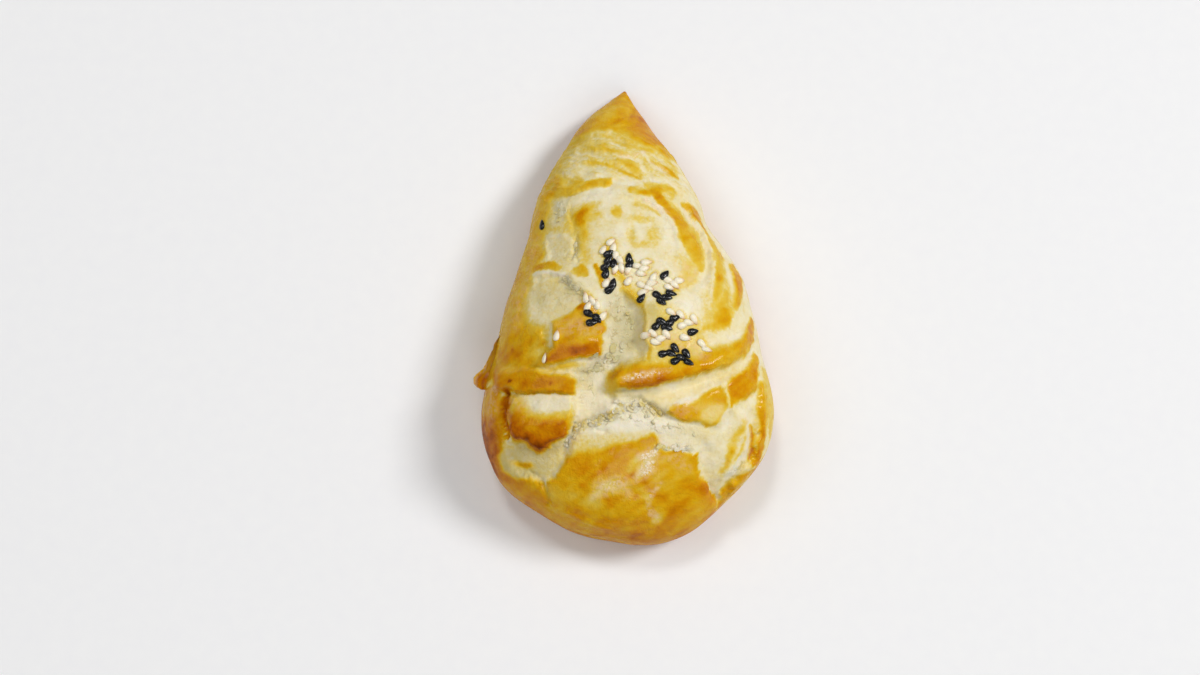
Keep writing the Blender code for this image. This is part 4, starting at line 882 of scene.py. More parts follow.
# Level of browning, softness in radii, then x, y, half length, half breadth and direction
SPOTS = {
    "gold spot": (0.46, 0.5, (-2.0, 20.0, 1.9, 1.3, 90)),
    "darkest of the upper left flap": (0.84, 0.9, (-11.4, -18.2, 3.6, 1.2, 4)),
    "left of the upper left flap": (0.80, 0.9, (-19.2, -19.4, 1.2, 1.4, 90)),
    "below the upper left flap": (0.44, 0.7, (-15.6, -22.3, 4.2, 0.8, 5)),
    "top of the upper left flap": (0.54, 0.9, (-11.0, -12.0, 3.4, 2.4, 20)),
    "dark middle of the middle left flap": (0.72, 0.9, (-24.0, -26.0, 7.5, 1.2, -6)),
    "end of the middle left flap": (0.66, 0.8, (-14.4, -27.6, 1.4, 1.2, 0)),
    "burnt pit": (1.00, 0.6, (-29.8, -24.9, 0.5, 0.4, 0)),
    "second pit": (0.96, 0.8, (-29.6, -16.6, 0.5, 0.4, 0)),
    "third pit": (0.90, 0.8, (-19.0, -26.4, 0.4, 0.4, 0)),
    "pit of the upper left flap": (0.94, 0.8, (-19.4, -18.4, 0.4, 0.6, 90)),
    "left field brown": (0.68, 0.9, (-31.6, -17.6, 2.0, 3.4, 90)),
    "gold of the field": (0.60, 0.9, (-24.4, -13.6, 3.2, 2.0, 0)),
    "yellow field": (0.44, 0.8, (-22.4, -18.2, 1.2, 3.0, 90)),
    "left end of the middle flap": (0.75, 0.9, (-32.6, -23.8, 1.8, 1.8, 0)),
    "small brown patch": (0.76, 0.6, (-11.0, -6.9, 1.3, 0.8, 15)),
    "dark side of the dome": (0.72, 0.9, (19.2, -51.8, 1.6, 2.0, 60)),
    "pale middle of the dome": (0.42, 0.8, (-3.6, -52.4, 5.0, 2.2, 4)),
    "pale left middle of the dome": (0.46, 0.8, (-7.4, -55.4, 2.4, 1.9, 60)),
    "pale low on the dome": (0.44, 0.8, (5.4, -54.6, 2.8, 1.1, -50)),
    "gold low on the dome": (0.66, 0.9, (9.4, -56.0, 2.4, 1.7, 10)),
    "gold of the dome's top": (0.62, 0.8, (2.0, -43.2, 3.6, 1.4, 10)),
    "bottom of the dome": (0.60, 0.9, (-2.0, -59.2, 7.5, 1.8, 0)),
    # Painted highlight low on the dome
    "painted highlight at the bottom": (0.44, 0.8, (8.4, -60.4, 1.8, 0.9, 40)),
    "gold spot of the window": (0.62, 0.9, (-26.6, -46.4, 2.4, 0.8, -14)),
    "crevice by the rim": (0.34, 0.7, (31.4, -46.2, 1.8, 0.8, 38)),
    "olive bubble": (0.42, 0.7, (-3.2, -34.6, 1.5, 0.9, 20)),
    "left of the swirl": (0.32, 0.9, (2.2, 13.0, 1.3, 2.8, 10)),
    "right of the swirl": (0.35, 0.9, (7.8, 13.0, 1.5, 2.8, -10)),
    "foot of the swirl": (0.32, 0.9, (4.8, 10.4, 2.6, 0.9, 5)),
    "light streak of the lower left flap": (0.68, 0.9, (-19.4, -37.0, 2.2, 0.5, 22)),
    "second streak of the lower left flap": (0.64, 0.9, (-25.0, -35.4, 1.8, 0.5, -20)),
    "dark left of the lower left flap": (0.86, 0.9, (-27.6, -37.8, 1.8, 1.3, -30)),
    "end of the upper left flap": (0.60, 0.9, (-8.4, -14.2, 2.2, 1.4, 40)),
    "tan of the field": (0.40, 0.9, (14.0, -17.6, 5.0, 2.0, -8)),
    "olive of the field": (0.31, 0.9, (7.8, -9.6, 2.0, 3.0, 90)),
}

# %% [markdown]
# ## Torn layers
# Along some edges the top sheet of dough came away and left dry, whitish crumb. A second number
# marks these places. It makes the relief rough there and takes the shine off later. Two more
# numbers mark where a milky film of dough lies over the gold, which also carries painted glints of
# the egg wash, and where the sheet is thin and oily, which also carries painted shade.

# %% Torn places
# Strength, then x, y, half width and share of the strength along the line
TEARS = {
    "torn edge": (1.0, (
        (-15.2, -43.5, 0.5, 0.3), (-14.6, -40.6, 0.6, 0.5), (-12.0, -38.0, 1.0, 1.0), (-7.0, -36.4, 1.2, 1.0),
        (-3.0, -35.0, 1.2, 1.0), (1.0, -33.2, 2.2, 1.0), (5.0, -33.4, 1.8, 1.0), (9.5, -34.4, 0.7, 0.8))),
    "top of the dome": (0.5, (
        (4, -36.4, 1.4, 1), (10, -38.4, 1.6, 1), (16, -38.0, 1.4, 1), (20, -39.0, 1.0, 0.6))),
    "crumbling of the dome": (0.45, (
        (7.6, -43.4, 0.9, 1.0), (6.6, -45.6, 1.2, 1.0), (5.0, -47.6, 1.0, 1.0), (4.0, -49.8, 0.8, 0.8))),
    "edge of the dome gold": (0.7, ((10.0, -43.0, 0.6, 1.0), (14.5, -42.4, 0.7, 1.0))),
    "lower left window": (0.25, (
        (-31.5, -44.0, 1.2, 0.8), (-27, -43.5, 2.0, 1.0), (-20, -46, 3.0, 0.8))),
    "edge of the lower left window": (0.25, (
        (-25.4, -49.2, 0.7, 0.8), (-20.6, -50.6, 0.8, 1.0), (-19.0, -53.4, 0.6, 0.8))),
    "hollow": (0.5, ((-2, -6, 2.2, 1), (-0.5, -13, 3.0, 1), (-2, -20, 2.6, 0.8), (-10.5, -24.5, 2.4, 1.2))),
    "right of the middle left flap": (0.5, ((-10.5, -24.5, 2.0, 1.0), (-9.5, -31.0, 2.0, 0.7))),
    "middle left window": (0.25, ((-23, -2, 2.0, 1), (-17, -5, 3.4, 1), (-12, -1, 2.0, 1))),
    "upper left window": (0.3, (
        (-17.0, 24, 1.8, 1), (-17.0, 20, 1.4, 0.7), (-16.9, 17, 0.6, 0.0), (-16.6, 11, 2.6, 0.7),
        (-14.5, 6.5, 1.4, 1))),
    "right rim": (0.5, ((31.4, -46.4, 1.4, 1), (27.0, -49.0, 0.8, 1))),
}
# Milky film over the gold, which also carries painted glints of the egg wash, in the same form
FILMS_AND_GLINTS = {
    "middle of the dome": (0.7, (
        (-8.0, -55.0, 1.2, 0.7), (-5.6, -52.6, 2.0, 1.0), (-2.0, -51.6, 1.7, 1.0), (0.6, -53.4, 1.2, 0.6))),
    "crumbling of the dome": (1.0, (
        (8.8, -42.8, 0.7, 0.8), (7.4, -44.2, 1.3, 1.0), (4.4, -45.4, 1.3, 0.9), (6.2, -46.6, 1.9, 1.0),
        (5.4, -48.2, 1.5, 1.0), (2.8, -50.4, 0.9, 0.6))),
    "streaks low on the dome": (0.7, (
        (9.6, -51.4, 0.6, 0.8), (6.4, -54.4, 0.8, 1.0), (5.8, -57.0, 0.6, 0.8), (8.2, -60.4, 0.9, 0.9))),
    "right of the dome": (0.45, ((10.6, -45.6, 1.0, 0.8), (14.0, -46.2, 1.6, 1.0), (16.4, -47.6, 1.0, 0.7))),
    "edge of the dome gold": (0.8, (
        (8.8, -41.2, 0.6, 1.0), (12.0, -42.6, 0.7, 1.0), (16.6, -43.2, 0.6, 1.0))),
    "inside the winding": (0.6, ((14.6, 5.0, 1.8, 0.8), (17.4, 3.0, 2.0, 1.0), (15.4, 0.4, 1.8, 0.9))),
    "wrinkles": (0.8, ((-1.0, 38.6, 0.6, 0.8), (2.4, 38.0, 0.8, 1.0), (5.6, 40.4, 0.6, 0.9))),
    "right wrinkles": (0.8, ((7.2, 36.8, 0.5, 0.8), (10.6, 35.2, 0.7, 1.0), (12.0, 33.6, 0.5, 0.7))),
    "by the winding": (0.9, (
        (5.4, 25.2, 0.7, 0.9), (8.0, 23.6, 0.9, 1.0), (11.4, 19.6, 0.9, 1.0), (13.2, 16.0, 0.6, 0.9))),
    "by the outer winding": (0.5, ((17.0, 22.4, 0.6, 0.9), (18.2, 20.4, 0.6, 1.0), (20.0, 17.2, 0.6, 0.8))),
    "top of the lower right flap": (0.9, (
        (12.8, -32.3, 0.5, 0.9), (15.4, -31.9, 0.6, 1.0), (18, -30.9, 0.4, 0.7))),
    "round of the lower right flap": (0.45, ((20.4, -33.8, 1.4, 0.8), (23.4, -33.2, 2.0, 1.0))),
    "right rim": (0.5, ((31.6, -34.6, 0.8, 0.7), (32.6, -38.0, 0.8, 1.0), (32.2, -43.0, 0.9, 1.0))),
    "roll of the glazed ridge": (0.9, (
        (0.6, -25.6, 0.8, 1.0), (4.0, -24.8, 0.9, 1.0), (9.0, -23.8, 0.7, 0.8), (11.5, -23.2, 0.4, 0.5))),
    "seeded field": (0.6, (
        (8.0, -14.0, 3.0, 0.8), (14.0, -16.4, 3.0, 1.0), (19.0, -18.0, 2.0, 0.9))),
    "left wall": (0.6, ((-34.2, -26.0, 1.0, 0.9), (-34.6, -30.0, 1.2, 1.0), (-35.0, -35.0, 0.9, 0.3))),
    "left strip": (0.35, (
        (-23.6, 15.0, 1.4, 0.7), (-25.4, 6.0, 1.4, 0.8), (-27.4, -3.0, 1.8, 1.0), (-29.4, -10.0, 1.6, 0.6))),
    "upper left flap": (0.4, (
        (-16.0, -11.8, 1.8, 0.8), (-11.0, -12.0, 2.6, 1.0), (-7.4, -13.0, 1.6, 0.8))),
    "lower left flap": (0.45, (
        (-29.0, -30.4, 0.9, 0.8), (-27.0, -31.2, 1.5, 1.0), (-23.4, -33.0, 1.0, 0.7))),
    "left part of the lower right flap": (0.3, (
        (12.6, -33.8, 0.9, 0.8), (16.4, -33.6, 1.4, 1.0), (19.4, -33.0, 1.2, 0.7))),
}
# Thin inner sheets that look oily, and painted shade in the hollow, the windows and the cracks, in the same
# form
THIN_AND_SHADE = {
    "hollow": (1.0, (
        (-1.6, -5.0, 2.2, 0.6), (-0.4, -10.0, 3.8, 1.0), (0.2, -16.0, 4.0, 1.0), (-1.6, -21.0, 3.0, 0.7))),
    "right of the middle left flap": (0.6, ((-6.0, -22.4, 2.0, 0.7), (-10.4, -25.0, 2.2, 1.0))),
    "valley": (0.5, ((-3.6, -29.6, 1.8, 1.0), (2.0, -29.4, 1.4, 1.0), (8.0, -29.2, 1.2, 0.5))),
    "middle left window": (0.28, (
        (-22.6, -2.6, 2.4, 1.0), (-17, -3.8, 4.0, 1.0), (-12.4, -2.0, 2.0, 0.8))),
    "upper left window": (0.25, ((-17.2, 12.6, 1.6, 0.7), (-16.6, 10.0, 3.0, 1.0))),
    "high left window": (0.30, ((-17.0, 24.4, 2.0, 1.0), (-17.0, 21.0, 1.8, 0.8))),
    "lower left window": (0.5, (
        (-31.2, -44.0, 1.6, 0.8), (-27.6, -43.6, 2.2, 1.0), (-21.6, -46.0, 4.0, 1.0),
        (-16.4, -43.4, 1.8, 0.6))),
    "lower edge of the lower left window": (0.9, (
        (-32.0, -43.6, 0.9, 0.7), (-30.6, -46.4, 1.4, 1.0), (-27.4, -48.2, 1.4, 1.0),
        (-23.4, -49.4, 1.1, 0.9))),
    "torn edge": (0.9, (
        (-14.6, -39.6, 0.8, 0.8), (-12.0, -37.6, 0.9, 1.0), (-6.4, -35.6, 0.9, 1.0),
        (-2.6, -35.6, 0.7, 1.0))),
    "crack right of the torn edge": (0.9, (
        (-1.0, -30.4, 0.4, 0.8), (3.4, -30.4, 0.5, 1.0), (8.4, -34.6, 0.5, 1.0))),
    "field by the hollow": (0.8, (
        (6.6, -7.6, 1.6, 0.9), (7.4, -12.0, 1.8, 1.0), (6.8, -15.6, 1.2, 0.8))),
}

# %% [markdown]
# ## Browning
# Bare dough is pale and a little cloudy, the sides and the foot are darker. The tables' areas,
# strokes and spots are painted over that one after the other, each by its own mask, so a later one
# covers an earlier one. Blotches and strokes of the brush show where the dough is browned.

# %% Browning of each point
# Softness of the lines of the last three tables, in half widths
LINE_SOFTNESS = (0.8, 0.8)
# Direction in degrees, length and breadth in millimetres and seed
STREAKS = {
    "brush": (28.0, 5.0, 1.3, 15.0),
    "wrinkles": (-28.0, 5.0, 1.1, 4.0),
    "fine wrinkles": (-28.0, 2.6, 0.7, 19.0),
}
STREAK_DEPTH = 4.0
SIDE_SWAY = 6.0
SIDE_SWAY_LENGTH = 7.0
# Length and height of the low waves that the wound layers make around the sides
SIDE_LAYER_SIZE = (17.0, 17.0, 3.6)
SIDE_LAYER_HEIGHT = 0.5
# Browning of bare dough, of the sides, of the foot, and round a seed: gathered wash and painted shade
BARE = 0.14
SIDE = 0.64
FOOT = 0.74
GATHERED_WASH_AND_SHADE = 0.52
# Heights in millimetres between which the sides and the foot brown
SIDE_LEVELS = (16.0, 7.0)
FOOT_LEVELS = (8.0, 1.0)
# Browning above which strokes of the brush and blotches show
MOTTLED = (0.25, 0.5)
# How much of the browning each unevenness makes
BARE_CLOUDS = 0.07
BARE_WISPS = 0.05
BLOTCHES = 0.11
BRUSH_STROKES = 0.09
WRINKLE_LINES = 0.12
LAYER_LINES = 0.12
# How many millimetres the noises move the edge of the browned sides and foot up or down
SIDE_CLOUDS = 7.0
SIDE_WISPS = 3.0
FOOT_CLOUDS = 4.0
# Distance from a seed in half lengths, then noise, between which gathered wash and painted shade begin
WASH_AND_SHADE_RING = (1.6, 1.05)
WASH_AND_SHADE_PATCHES = (-0.3, 0.3)
WASH_AND_SHADE_SHARE = 0.4
# Upward part of the skin's direction, then heights, between which the side layers begin
STEEP = (0.45, 0.1)
ABOVE_BASE = (1.0, 6.0)
# Where the wrinkles begin and end along the pasty
WRINKLES_BEGIN = (24.0, 33.0)
WRINKLES_END = (49.0, 44.0)


def paint(values, level, mask):
    return values + (level - values) * mask


def streaks_along(xy, name):
    """Noise drawn out along a direction in plan, that changes down the sides as well."""
    way, long, broad, seed = STREAKS[name]
    turned = turned_plan(xy, way) / (long, broad)
    return noise_at(np.column_stack([turned, smooth_body[:, 2] / STREAK_DEPTH]), 1.0, seed)


def pooled_wash_and_shade(xy):
    """1 close round a seed, where egg wash gathered and painted shade lies under the seed, and 0 away from
    it.
    """
    nearest = np.full(len(xy), FAR)
    for x, y, turn in places:
        turned = turned_plan(xy - (x, y), turn) / (SEED_LONG / 2.0, SEED_BROAD / 2.0)
        nearest = np.minimum(nearest, np.linalg.norm(turned, axis=1))
    return smooth(*WASH_AND_SHADE_RING, nearest) * smooth(*WASH_AND_SHADE_PATCHES, body_noise("patches of wash and shade"))


def browning():
    """Browning of each point, from 0, palest, to 1, darkest."""
    clouds = body_noise("clouds")
    wisps = body_noise("wisps")
    height = smooth_body[:, 2]
    bake = BARE + BARE_CLOUDS * clouds + BARE_WISPS * wisps
    side = smooth(*SIDE_LEVELS, height + SIDE_CLOUDS * clouds + SIDE_WISPS * wisps)
    bake = paint(bake, SIDE, side)
    for level, corners in AREAS.values():
        bake = paint(bake, level, area_mask(painted_plan, corners))
    for softness, line in STROKES.values():
        mask, level = stroke_mask(painted_plan, softness, line)
        bake = paint(bake, level, mask)
    for level, softness, spot in SPOTS.values():
        bake = paint(bake, level, spot_mask(painted_plan, softness, spot))
    # Painted shade and pooled wash in a ring round each seed
    bake = paint(bake, np.maximum(bake, GATHERED_WASH_AND_SHADE), WASH_AND_SHADE_SHARE * pooled_wash_and_shade(plan))
    bake = paint(bake, FOOT, smooth(*FOOT_LEVELS, height + FOOT_CLOUDS * clouds))
    bake += WRINKLE_LINES * wrinkle_streaks * wrinkled + LAYER_LINES * side_layers
    blotches = body_noise("blotches") + 0.6 * body_noise("small blotches")
    mottle = BLOTCHES * blotches + BRUSH_STROKES * streaks_along(plan, "brush")
    return np.clip(bake + mottle * smooth(*MOTTLED, bake), 0.0, 1.0)


def along_lines(table):
    """How far each point belongs to the lines of a table, from 0 to 1."""
    shares = np.zeros(len(plan))
    for strength, line in table.values():
        mask, share = stroke_mask(painted_plan, LINE_SOFTNESS, line)
        shares = np.maximum(shares, strength * share * mask)
    return np.clip(shares, 0.0, 1.0)


steep = smooth(*STEEP, outward[:, 2])
above_base = smooth(*ABOVE_BASE, smooth_body[:, 2])
side_layers = steep * above_base * noise_at(smooth_body / SIDE_LAYER_SIZE, 1.0, 41.0)
side_sway = SIDE_SWAY * steep[:, None] * noise_ways(smooth_body, SIDE_SWAY_LENGTH, 31.0)
painted_plan = seen_plan + side_sway
wrinkle_streaks = streaks_along(seen_plan, "wrinkles")
wrinkle_streaks += 0.5 * streaks_along(seen_plan, "fine wrinkles")
wrinkled = smooth(*WRINKLES_BEGIN, seen_plan[:, 1]) * smooth(*WRINKLES_END, seen_plan[:, 1])
bake = browning()
torn = along_lines(TEARS)
film = along_lines(FILMS_AND_GLINTS)
thin = along_lines(THIN_AND_SHADE)
for what, shares in (("browning", bake), ("torn", torn), ("film", film), ("thin", thin)):
    print("mean", what, round(float(shares.mean()), 3))

# %% [markdown]
# ## Small relief
# On top of the folds come the marks of baking: cracks, fine wrinkles towards the point, blisters
# in the pale dough, rough crumb where it tore, and browned skin that stands a little proud of the
# pale layer under it. All of them are heights added along the skin's own normals.

# %% Small relief
# Height, then x, y and the half widths left and right along the line
CRACKS = {
    "edge of the lower left window": (-0.8, (
        (-25.0, -49.0, 0.4, 0.6), (-21.4, -50.8, 0.3, 0.6), (-20.3, -52.6, 0.3, 0.4),
        (-19.8, -56, 0.25, 0.3))),
    "below the torn edge": (-0.6, ((-7.6, -38.6, 0.2, 0.2), (-5.0, -38.9, 0.3, 0.3))),
    "right end of the torn edge": (-0.8, (
        (4.0, -30.9, 0.3, 0.3), (6.0, -32.6, 0.35, 0.4), (8.6, -34.6, 0.3, 0.4), (11.6, -34.8, 0.25, 0.3))),
    "foot of the dome": (-0.5, ((22.0, -51.6, 0.3, 0.3), (24.6, -54.8, 0.3, 0.3))),
    "left flap to the wall": (-0.5, (
        (-34, -26.8, 0.4, 0.4), (-31.5, -27.8, 0.5, 0.5), (-28.6, -28.8, 0.3, 0.3))),
    "over the middle left flap": (-0.45, (
        (-24, -21.6, 0.6, 0.3), (-19.6, -22.6, 0.6, 0.3), (-13, -24.4, 0.5, 0.3))),
    "window edge": (-0.4, ((-12.8, 13.4, 0.3, 0.3), (-12.6, 8.6, 0.35, 0.35), (-14.0, 6.4, 0.3, 0.3))),
    "lines in the window": (-0.35, (
        (-15.4, 8.2, 0.2, 0.2), (-13.2, 8.8, 0.25, 0.25), (-12.2, 6.4, 0.2, 0.2))),
    "point fold": (-0.4, ((1.6, 63, 0.4, 0.3), (2.8, 58, 0.5, 0.4), (2.0, 54, 0.4, 0.3))),
    "fold line across the point": (-0.25, ((-1, 47.6, 0.3, 0.3), (1.8, 44.8, 0.3, 0.3), (9, 42.2, 0.3, 0.3))),
    "light crease of the flap": (0.45, (
        (24.9, -26.6, 0.35, 0.35), (26.4, -28.8, 0.4, 0.4), (26.6, -31.8, 0.35, 0.35))),
    "ledge in the hollow": (0.5, ((4.4, -16.6, 0.5, 0.5), (6.2, -17.6, 0.5, 0.5))),
    "bubble": (1.0, ((-3.6, -34.2, 1.0, 0.9), (-1.8, -34.8, 0.9, 0.8))),
    "edge of the seeded field": (0.35, ((5.2, -6.8, 0.5, 0.3), (5.4, -12, 0.5, 0.3), (5.4, -16, 0.5, 0.3))),
    "first glaze line": (0.3, ((20.4, -5.0, 0.3, 0.3), (22.6, -9.4, 0.3, 0.3), (22.0, -13.0, 0.3, 0.3))),
    "sheet edge in the hollow": (-0.3, (
        (-2.0, -8.6, 0.2, 0.25), (0.6, -8.2, 0.2, 0.25), (3.4, -11.2, 0.2, 0.25))),
    "second sheet edge in the hollow": (-0.25, (
        (-4.0, -13.6, 0.2, 0.2), (-0.6, -13.2, 0.2, 0.2), (2.6, -15.0, 0.2, 0.2))),
    "fold of the lower dome": (-0.3, (
        (-20.2, -51.2, 0.3, 0.3), (-19.6, -57.0, 0.3, 0.3), (-17.0, -60.6, 0.3, 0.3))),
    "low fold": (0.3, ((-15.6, -58.0, 0.4, 0.3), (-11.0, -60.4, 0.5, 0.3), (-4, -62.4, 0.4, 0.3))),
}
# Heights in millimetres
HEIGHTS = {
    "wrinkles": 0.45,
    "blisters": 0.30,
    "crumb": 0.30,
    "grain": 0.05,
    "fine grain": 0.03,
    "dents": 0.11,
    "skin": 0.15,
}
# Browning between which dough goes from pale to browned, and from which its skin stands proud
PALE = (0.42, 0.2)
PROUD = (0.34, 0.5)


def small_relief():
    """Height of the marks of baking over the folds."""
    height = np.zeros(len(plan))
    for rise, line in CRACKS.values():
        height += rise * ridge(seen_plan, line)
    height += HEIGHTS["wrinkles"] * wrinkle_streaks * wrinkled
    pale = smooth(*PALE, bake)
    height += HEIGHTS["blisters"] * np.abs(body_noise("blisters")) * pale
    crumb = body_noise("crumb") + 0.7 * body_noise("fine crumb")
    height += HEIGHTS["crumb"] * torn ** 2 * crumb
    grain = HEIGHTS["grain"] * body_noise("grain")
    height += grain + HEIGHTS["fine grain"] * body_noise("fine grain")
    height += HEIGHTS["dents"] * body_noise("dents") * (1.0 - pale)
    return height + HEIGHTS["skin"] * smooth(*PROUD, bake)


# %% Crust mesh
LUMP_LENGTH = 11.0
LUMP_HEIGHT = 0.45
NEAR_BASE = 0.2


def lumps(points):
    """The same gentle unevenness as in the solid."""
    offset = Vector((5.0, 5.0, 5.0))
    return np.array([noise.noise(Vector(p) / LUMP_LENGTH + offset) for p in points])


def keep_inside(points):
    """Points brought inside the sides and the top of the solid's box, in millimetres."""
    low = np.array(cad_low) / MM + CENTRING
    high = np.array(cad_high) / MM + CENTRING
    return np.clip(points, (low[0], low[1], -np.inf), high)


push = (folds(seen_plan) + small_relief()) * upward + LUMP_HEIGHT * lumps(smooth_body)
push += SIDE_LAYER_HEIGHT * side_layers
skin = keep_inside(smooth_body + outward * push[:, None])
print("skin pushed by", round(float(push.min()), 2), "to", round(float(push.max()), 2), "mm")


def fit_inside(bm):
    """Brings a mesh into the solid's box and gives its points back."""
    inside = keep_inside(np.array([v.co for v in bm.verts]))
    move_to(bm, inside)
    return inside


def face_outwards(bm, soft=True):
    bmesh.ops.recalc_face_normals(bm, faces=bm.faces[:])
    for face in bm.faces:
        face.smooth = soft


def store(bm, **shares):
    """Values for the crust's material: one for each point, or one number for all of them."""
    for name, values in shares.items():
        layer = bm.verts.layers.float.new(name)
        for v, value in zip(bm.verts, np.broadcast_to(values, len(bm.verts))):
            v[layer] = value


def finish_mesh(name, bm):
    """Object with the finished mesh, moved from the tables' frame to the part's."""
    for v in bm.verts:
        v.co = (v.co - Vector(CENTRING)) * MM
    mesh = bpy.data.meshes.new(name)
    bm.to_mesh(mesh)
    bm.free()
    thing = bpy.data.objects.new(name, mesh)
    bpy.context.scene.collection.objects.link(thing)
    return thing


def cut_base(bm):
    """Everything below the resting level is cut away and the opening closed by one face."""
    for v in bm.verts:
        if abs(v.co.z) < NEAR_BASE:
            v.co.z = 0.0
    parts = bm.verts[:] + bm.edges[:] + bm.faces[:]
    bmesh.ops.bisect_plane(bm, geom=parts, dist=0.0001, plane_co=(0, 0, 0), plane_no=(0, 0, -1),
                           clear_outer=True)
    rim = [e for e in bm.edges if e.is_boundary]
    base = bmesh.ops.contextual_create(bm, geom=rim)["faces"]
    face_outwards(bm)
    for face in base:
        face.smooth = False
        face.material_index = 1


move_to(crust_bm, skin)
store(crust_bm, bake=bake, torn=torn, film=film, thin=thin)
cut_base(crust_bm)
skin_tree = BVHTree.FromBMesh(crust_bm)
crust = finish_mesh("crust", crust_bm)
print("crust:", len(crust.data.polygons), "faces")

# %% [markdown]
# ## Writing shader maths as plain maths
# A material is a graph of nodes, and drawing one by hand is slow to read. Here an output of a node
# is wrapped in a small class whose operators add Math nodes, so `1 - mask` does what it says.

# %% Node helper


class Out:
    """Output of a node in a material; arithmetic on it adds Math nodes."""

    def __init__(self, finish, socket):
        self.finish = finish
        self.socket = socket

    def maths(self, operation, *values):
        settings = {"operation": operation}
        return self.finish.node("Math", settings, dict(enumerate(values)))

    def __add__(self, other):
        return self.maths("ADD", self, other)

    def __radd__(self, other):
        return self.maths("ADD", other, self)

    def __sub__(self, other):
        return self.maths("SUBTRACT", self, other)

    def __rsub__(self, other):
        return self.maths("SUBTRACT", other, self)

    def __mul__(self, other):
        return self.maths("MULTIPLY", self, other)

    def __rmul__(self, other):
        return self.maths("MULTIPLY", other, self)

    def step(self, low, high):
        """Smooth step from 0 at low to 1 at high."""
        settings = {"interpolation_type": "SMOOTHSTEP"}
        return self.finish.node("MapRange", settings, {0: self, 1: low, 2: high})


class Finish:
    """A material under construction."""

    def __init__(self, name):
        self.material = bpy.data.materials.new(name)
        self.material.use_nodes = True
        self.tree = self.material.node_tree
        self.shader = self.tree.nodes["Principled BSDF"]

    def node(self, kind, settings=None, values=None, output=0):
        """Adds a node, with its settings first and then the values or links of its sockets."""
        node = self.tree.nodes.new("ShaderNode" + kind)
        for name, value in (settings or {}).items():
            if name == "stops":
                self.fill_ramp(node.color_ramp, value)
            else:
                setattr(node, name, value)
        for name, value in (values or {}).items():
            self.plug(node.inputs[name], value)
        return Out(self, node.outputs[output])

    def fill_ramp(self, ramp, stops):
        while len(ramp.elements) > 1:
            ramp.elements.remove(ramp.elements[0])
        ramp.elements[0].position = stops[0][0]
        ramp.elements[0].color = stops[0][1]
        for place, colour in stops[1:]:
            ramp.elements.new(place).color = colour

    def plug(self, socket, value):
        if isinstance(value, Out):
            self.tree.links.new(value.socket, socket)
        else:
            socket.default_value = value

    def mix(self, share, a, b):
        """Colour a where share is 0 and colour b where it is 1."""
        return self.node("Mix", {"data_type": "RGBA"}, {0: share, 6: a, 7: b}, 2)

    def place(self):
        """Place on the object, in metres."""
        return self.node("TexCoord", output="Object")

    def stored(self, name):
        """Value stored at the points of the mesh."""
        return self.node("Attribute", {"attribute_name": name}, output="Fac")

    def noise(self, place, size, detail=2.0, distortion=0.0, output=0):
        """Noise around 0.5 whose lumps are size millimetres long."""
        values = {"Vector": place, "Scale": 1.0 / (size * MM), "Detail": detail,
                  "Distortion": distortion}
        return self.node("TexNoise", None, values, output)

    def bump(self, strength, height):
        """Bump whose height is in millimetres."""
        return self.node("Bump", None, {"Strength": strength, "Distance": MM, "Height": height})

    def put(self, **values):
        """Values or links for the shader's own sockets."""
        for name, value in values.items():
            self.plug(self.shader.inputs[name.replace("_", " ")], value)
        return self.material


def rgb(red, green, blue):
    """Screen colour from 0 to 255 as the linear colour that a shader takes."""
    linear = []
    for c in (red / 255.0, green / 255.0, blue / 255.0):
        linear.append(c / 12.92 if c < 0.04045 else ((c + 0.055) / 1.055) ** 2.4)
    return (*linear, 1.0)


# %% [markdown]
# ## Baked crust
# Dough browns along one path of colours: cream, straw, gold, golden brown, and nearly black where
# it burns. So the colour needs only one ramp, read at the browning of each point. Noise finer than
# the mesh breaks up the edges. Browned skin is glossy from the egg wash, which is a coat over the
# dough, and torn crumb is pale and dull.

# %% Crust material
BAKING = (
    (0.00, rgb(243, 236, 216)),
    (0.10, rgb(240, 230, 198)),
    (0.18, rgb(236, 221, 170)),
    (0.30, rgb(231, 206, 114)),
    (0.42, rgb(227, 191, 62)),
    (0.56, rgb(222, 170, 14)),
    (0.70, rgb(211, 141, 0)),
    (0.84, rgb(186, 101, 0)),
    (1.00, rgb(116, 48, 0)),
)
CRUMB_COLOUR = rgb(232, 224, 200)
CRACK_COLOUR = rgb(178, 158, 96)
# Colour of the milky film, also used for painted glints
FILM_AND_GLINT_COLOUR = rgb(240, 212, 176)
# Colour of painted glints
PAINTED_GLINT_COLOUR = rgb(252, 238, 214)
# Colour of oily sheets, also used for painted shade
OIL_AND_SHADE_COLOUR = rgb(190, 178, 124)
# Length of the lumps in millimetres, detail and distortion of the crust's noises
GRAINS = {
    "blotch": (3.4, 3.0, 0.6),
    "dimple": (1.7, 2.0),
    "fleck": (0.9, 3.0),
    "fine": (0.45, 2.0),
}
# Values between which each mask of the crust goes from 0 to 1
STEPS = {
    "browned": (0.28, 0.5),
    "torn": (0.1, 0.4),
    "inside a stroke": (0.12, 0.46),
    "free of crumb": (0.3, 0.6),
    "film": (0.38, 0.62),
    "thick film under painted glints": (0.55, 0.9),
    "painted_glints": (0.50, 0.58),
    "glazed": (0.2, 0.62),
    "height of the brush in metres": (0.008, 0.020),
    "between bits": (0.0, 0.09),
    "cracked places": (0.46, 0.6),
}
BIT_SIZE = 3.2
BIT_BEND_SIZE = 2.0
BIT_BEND_REACH = 4.5


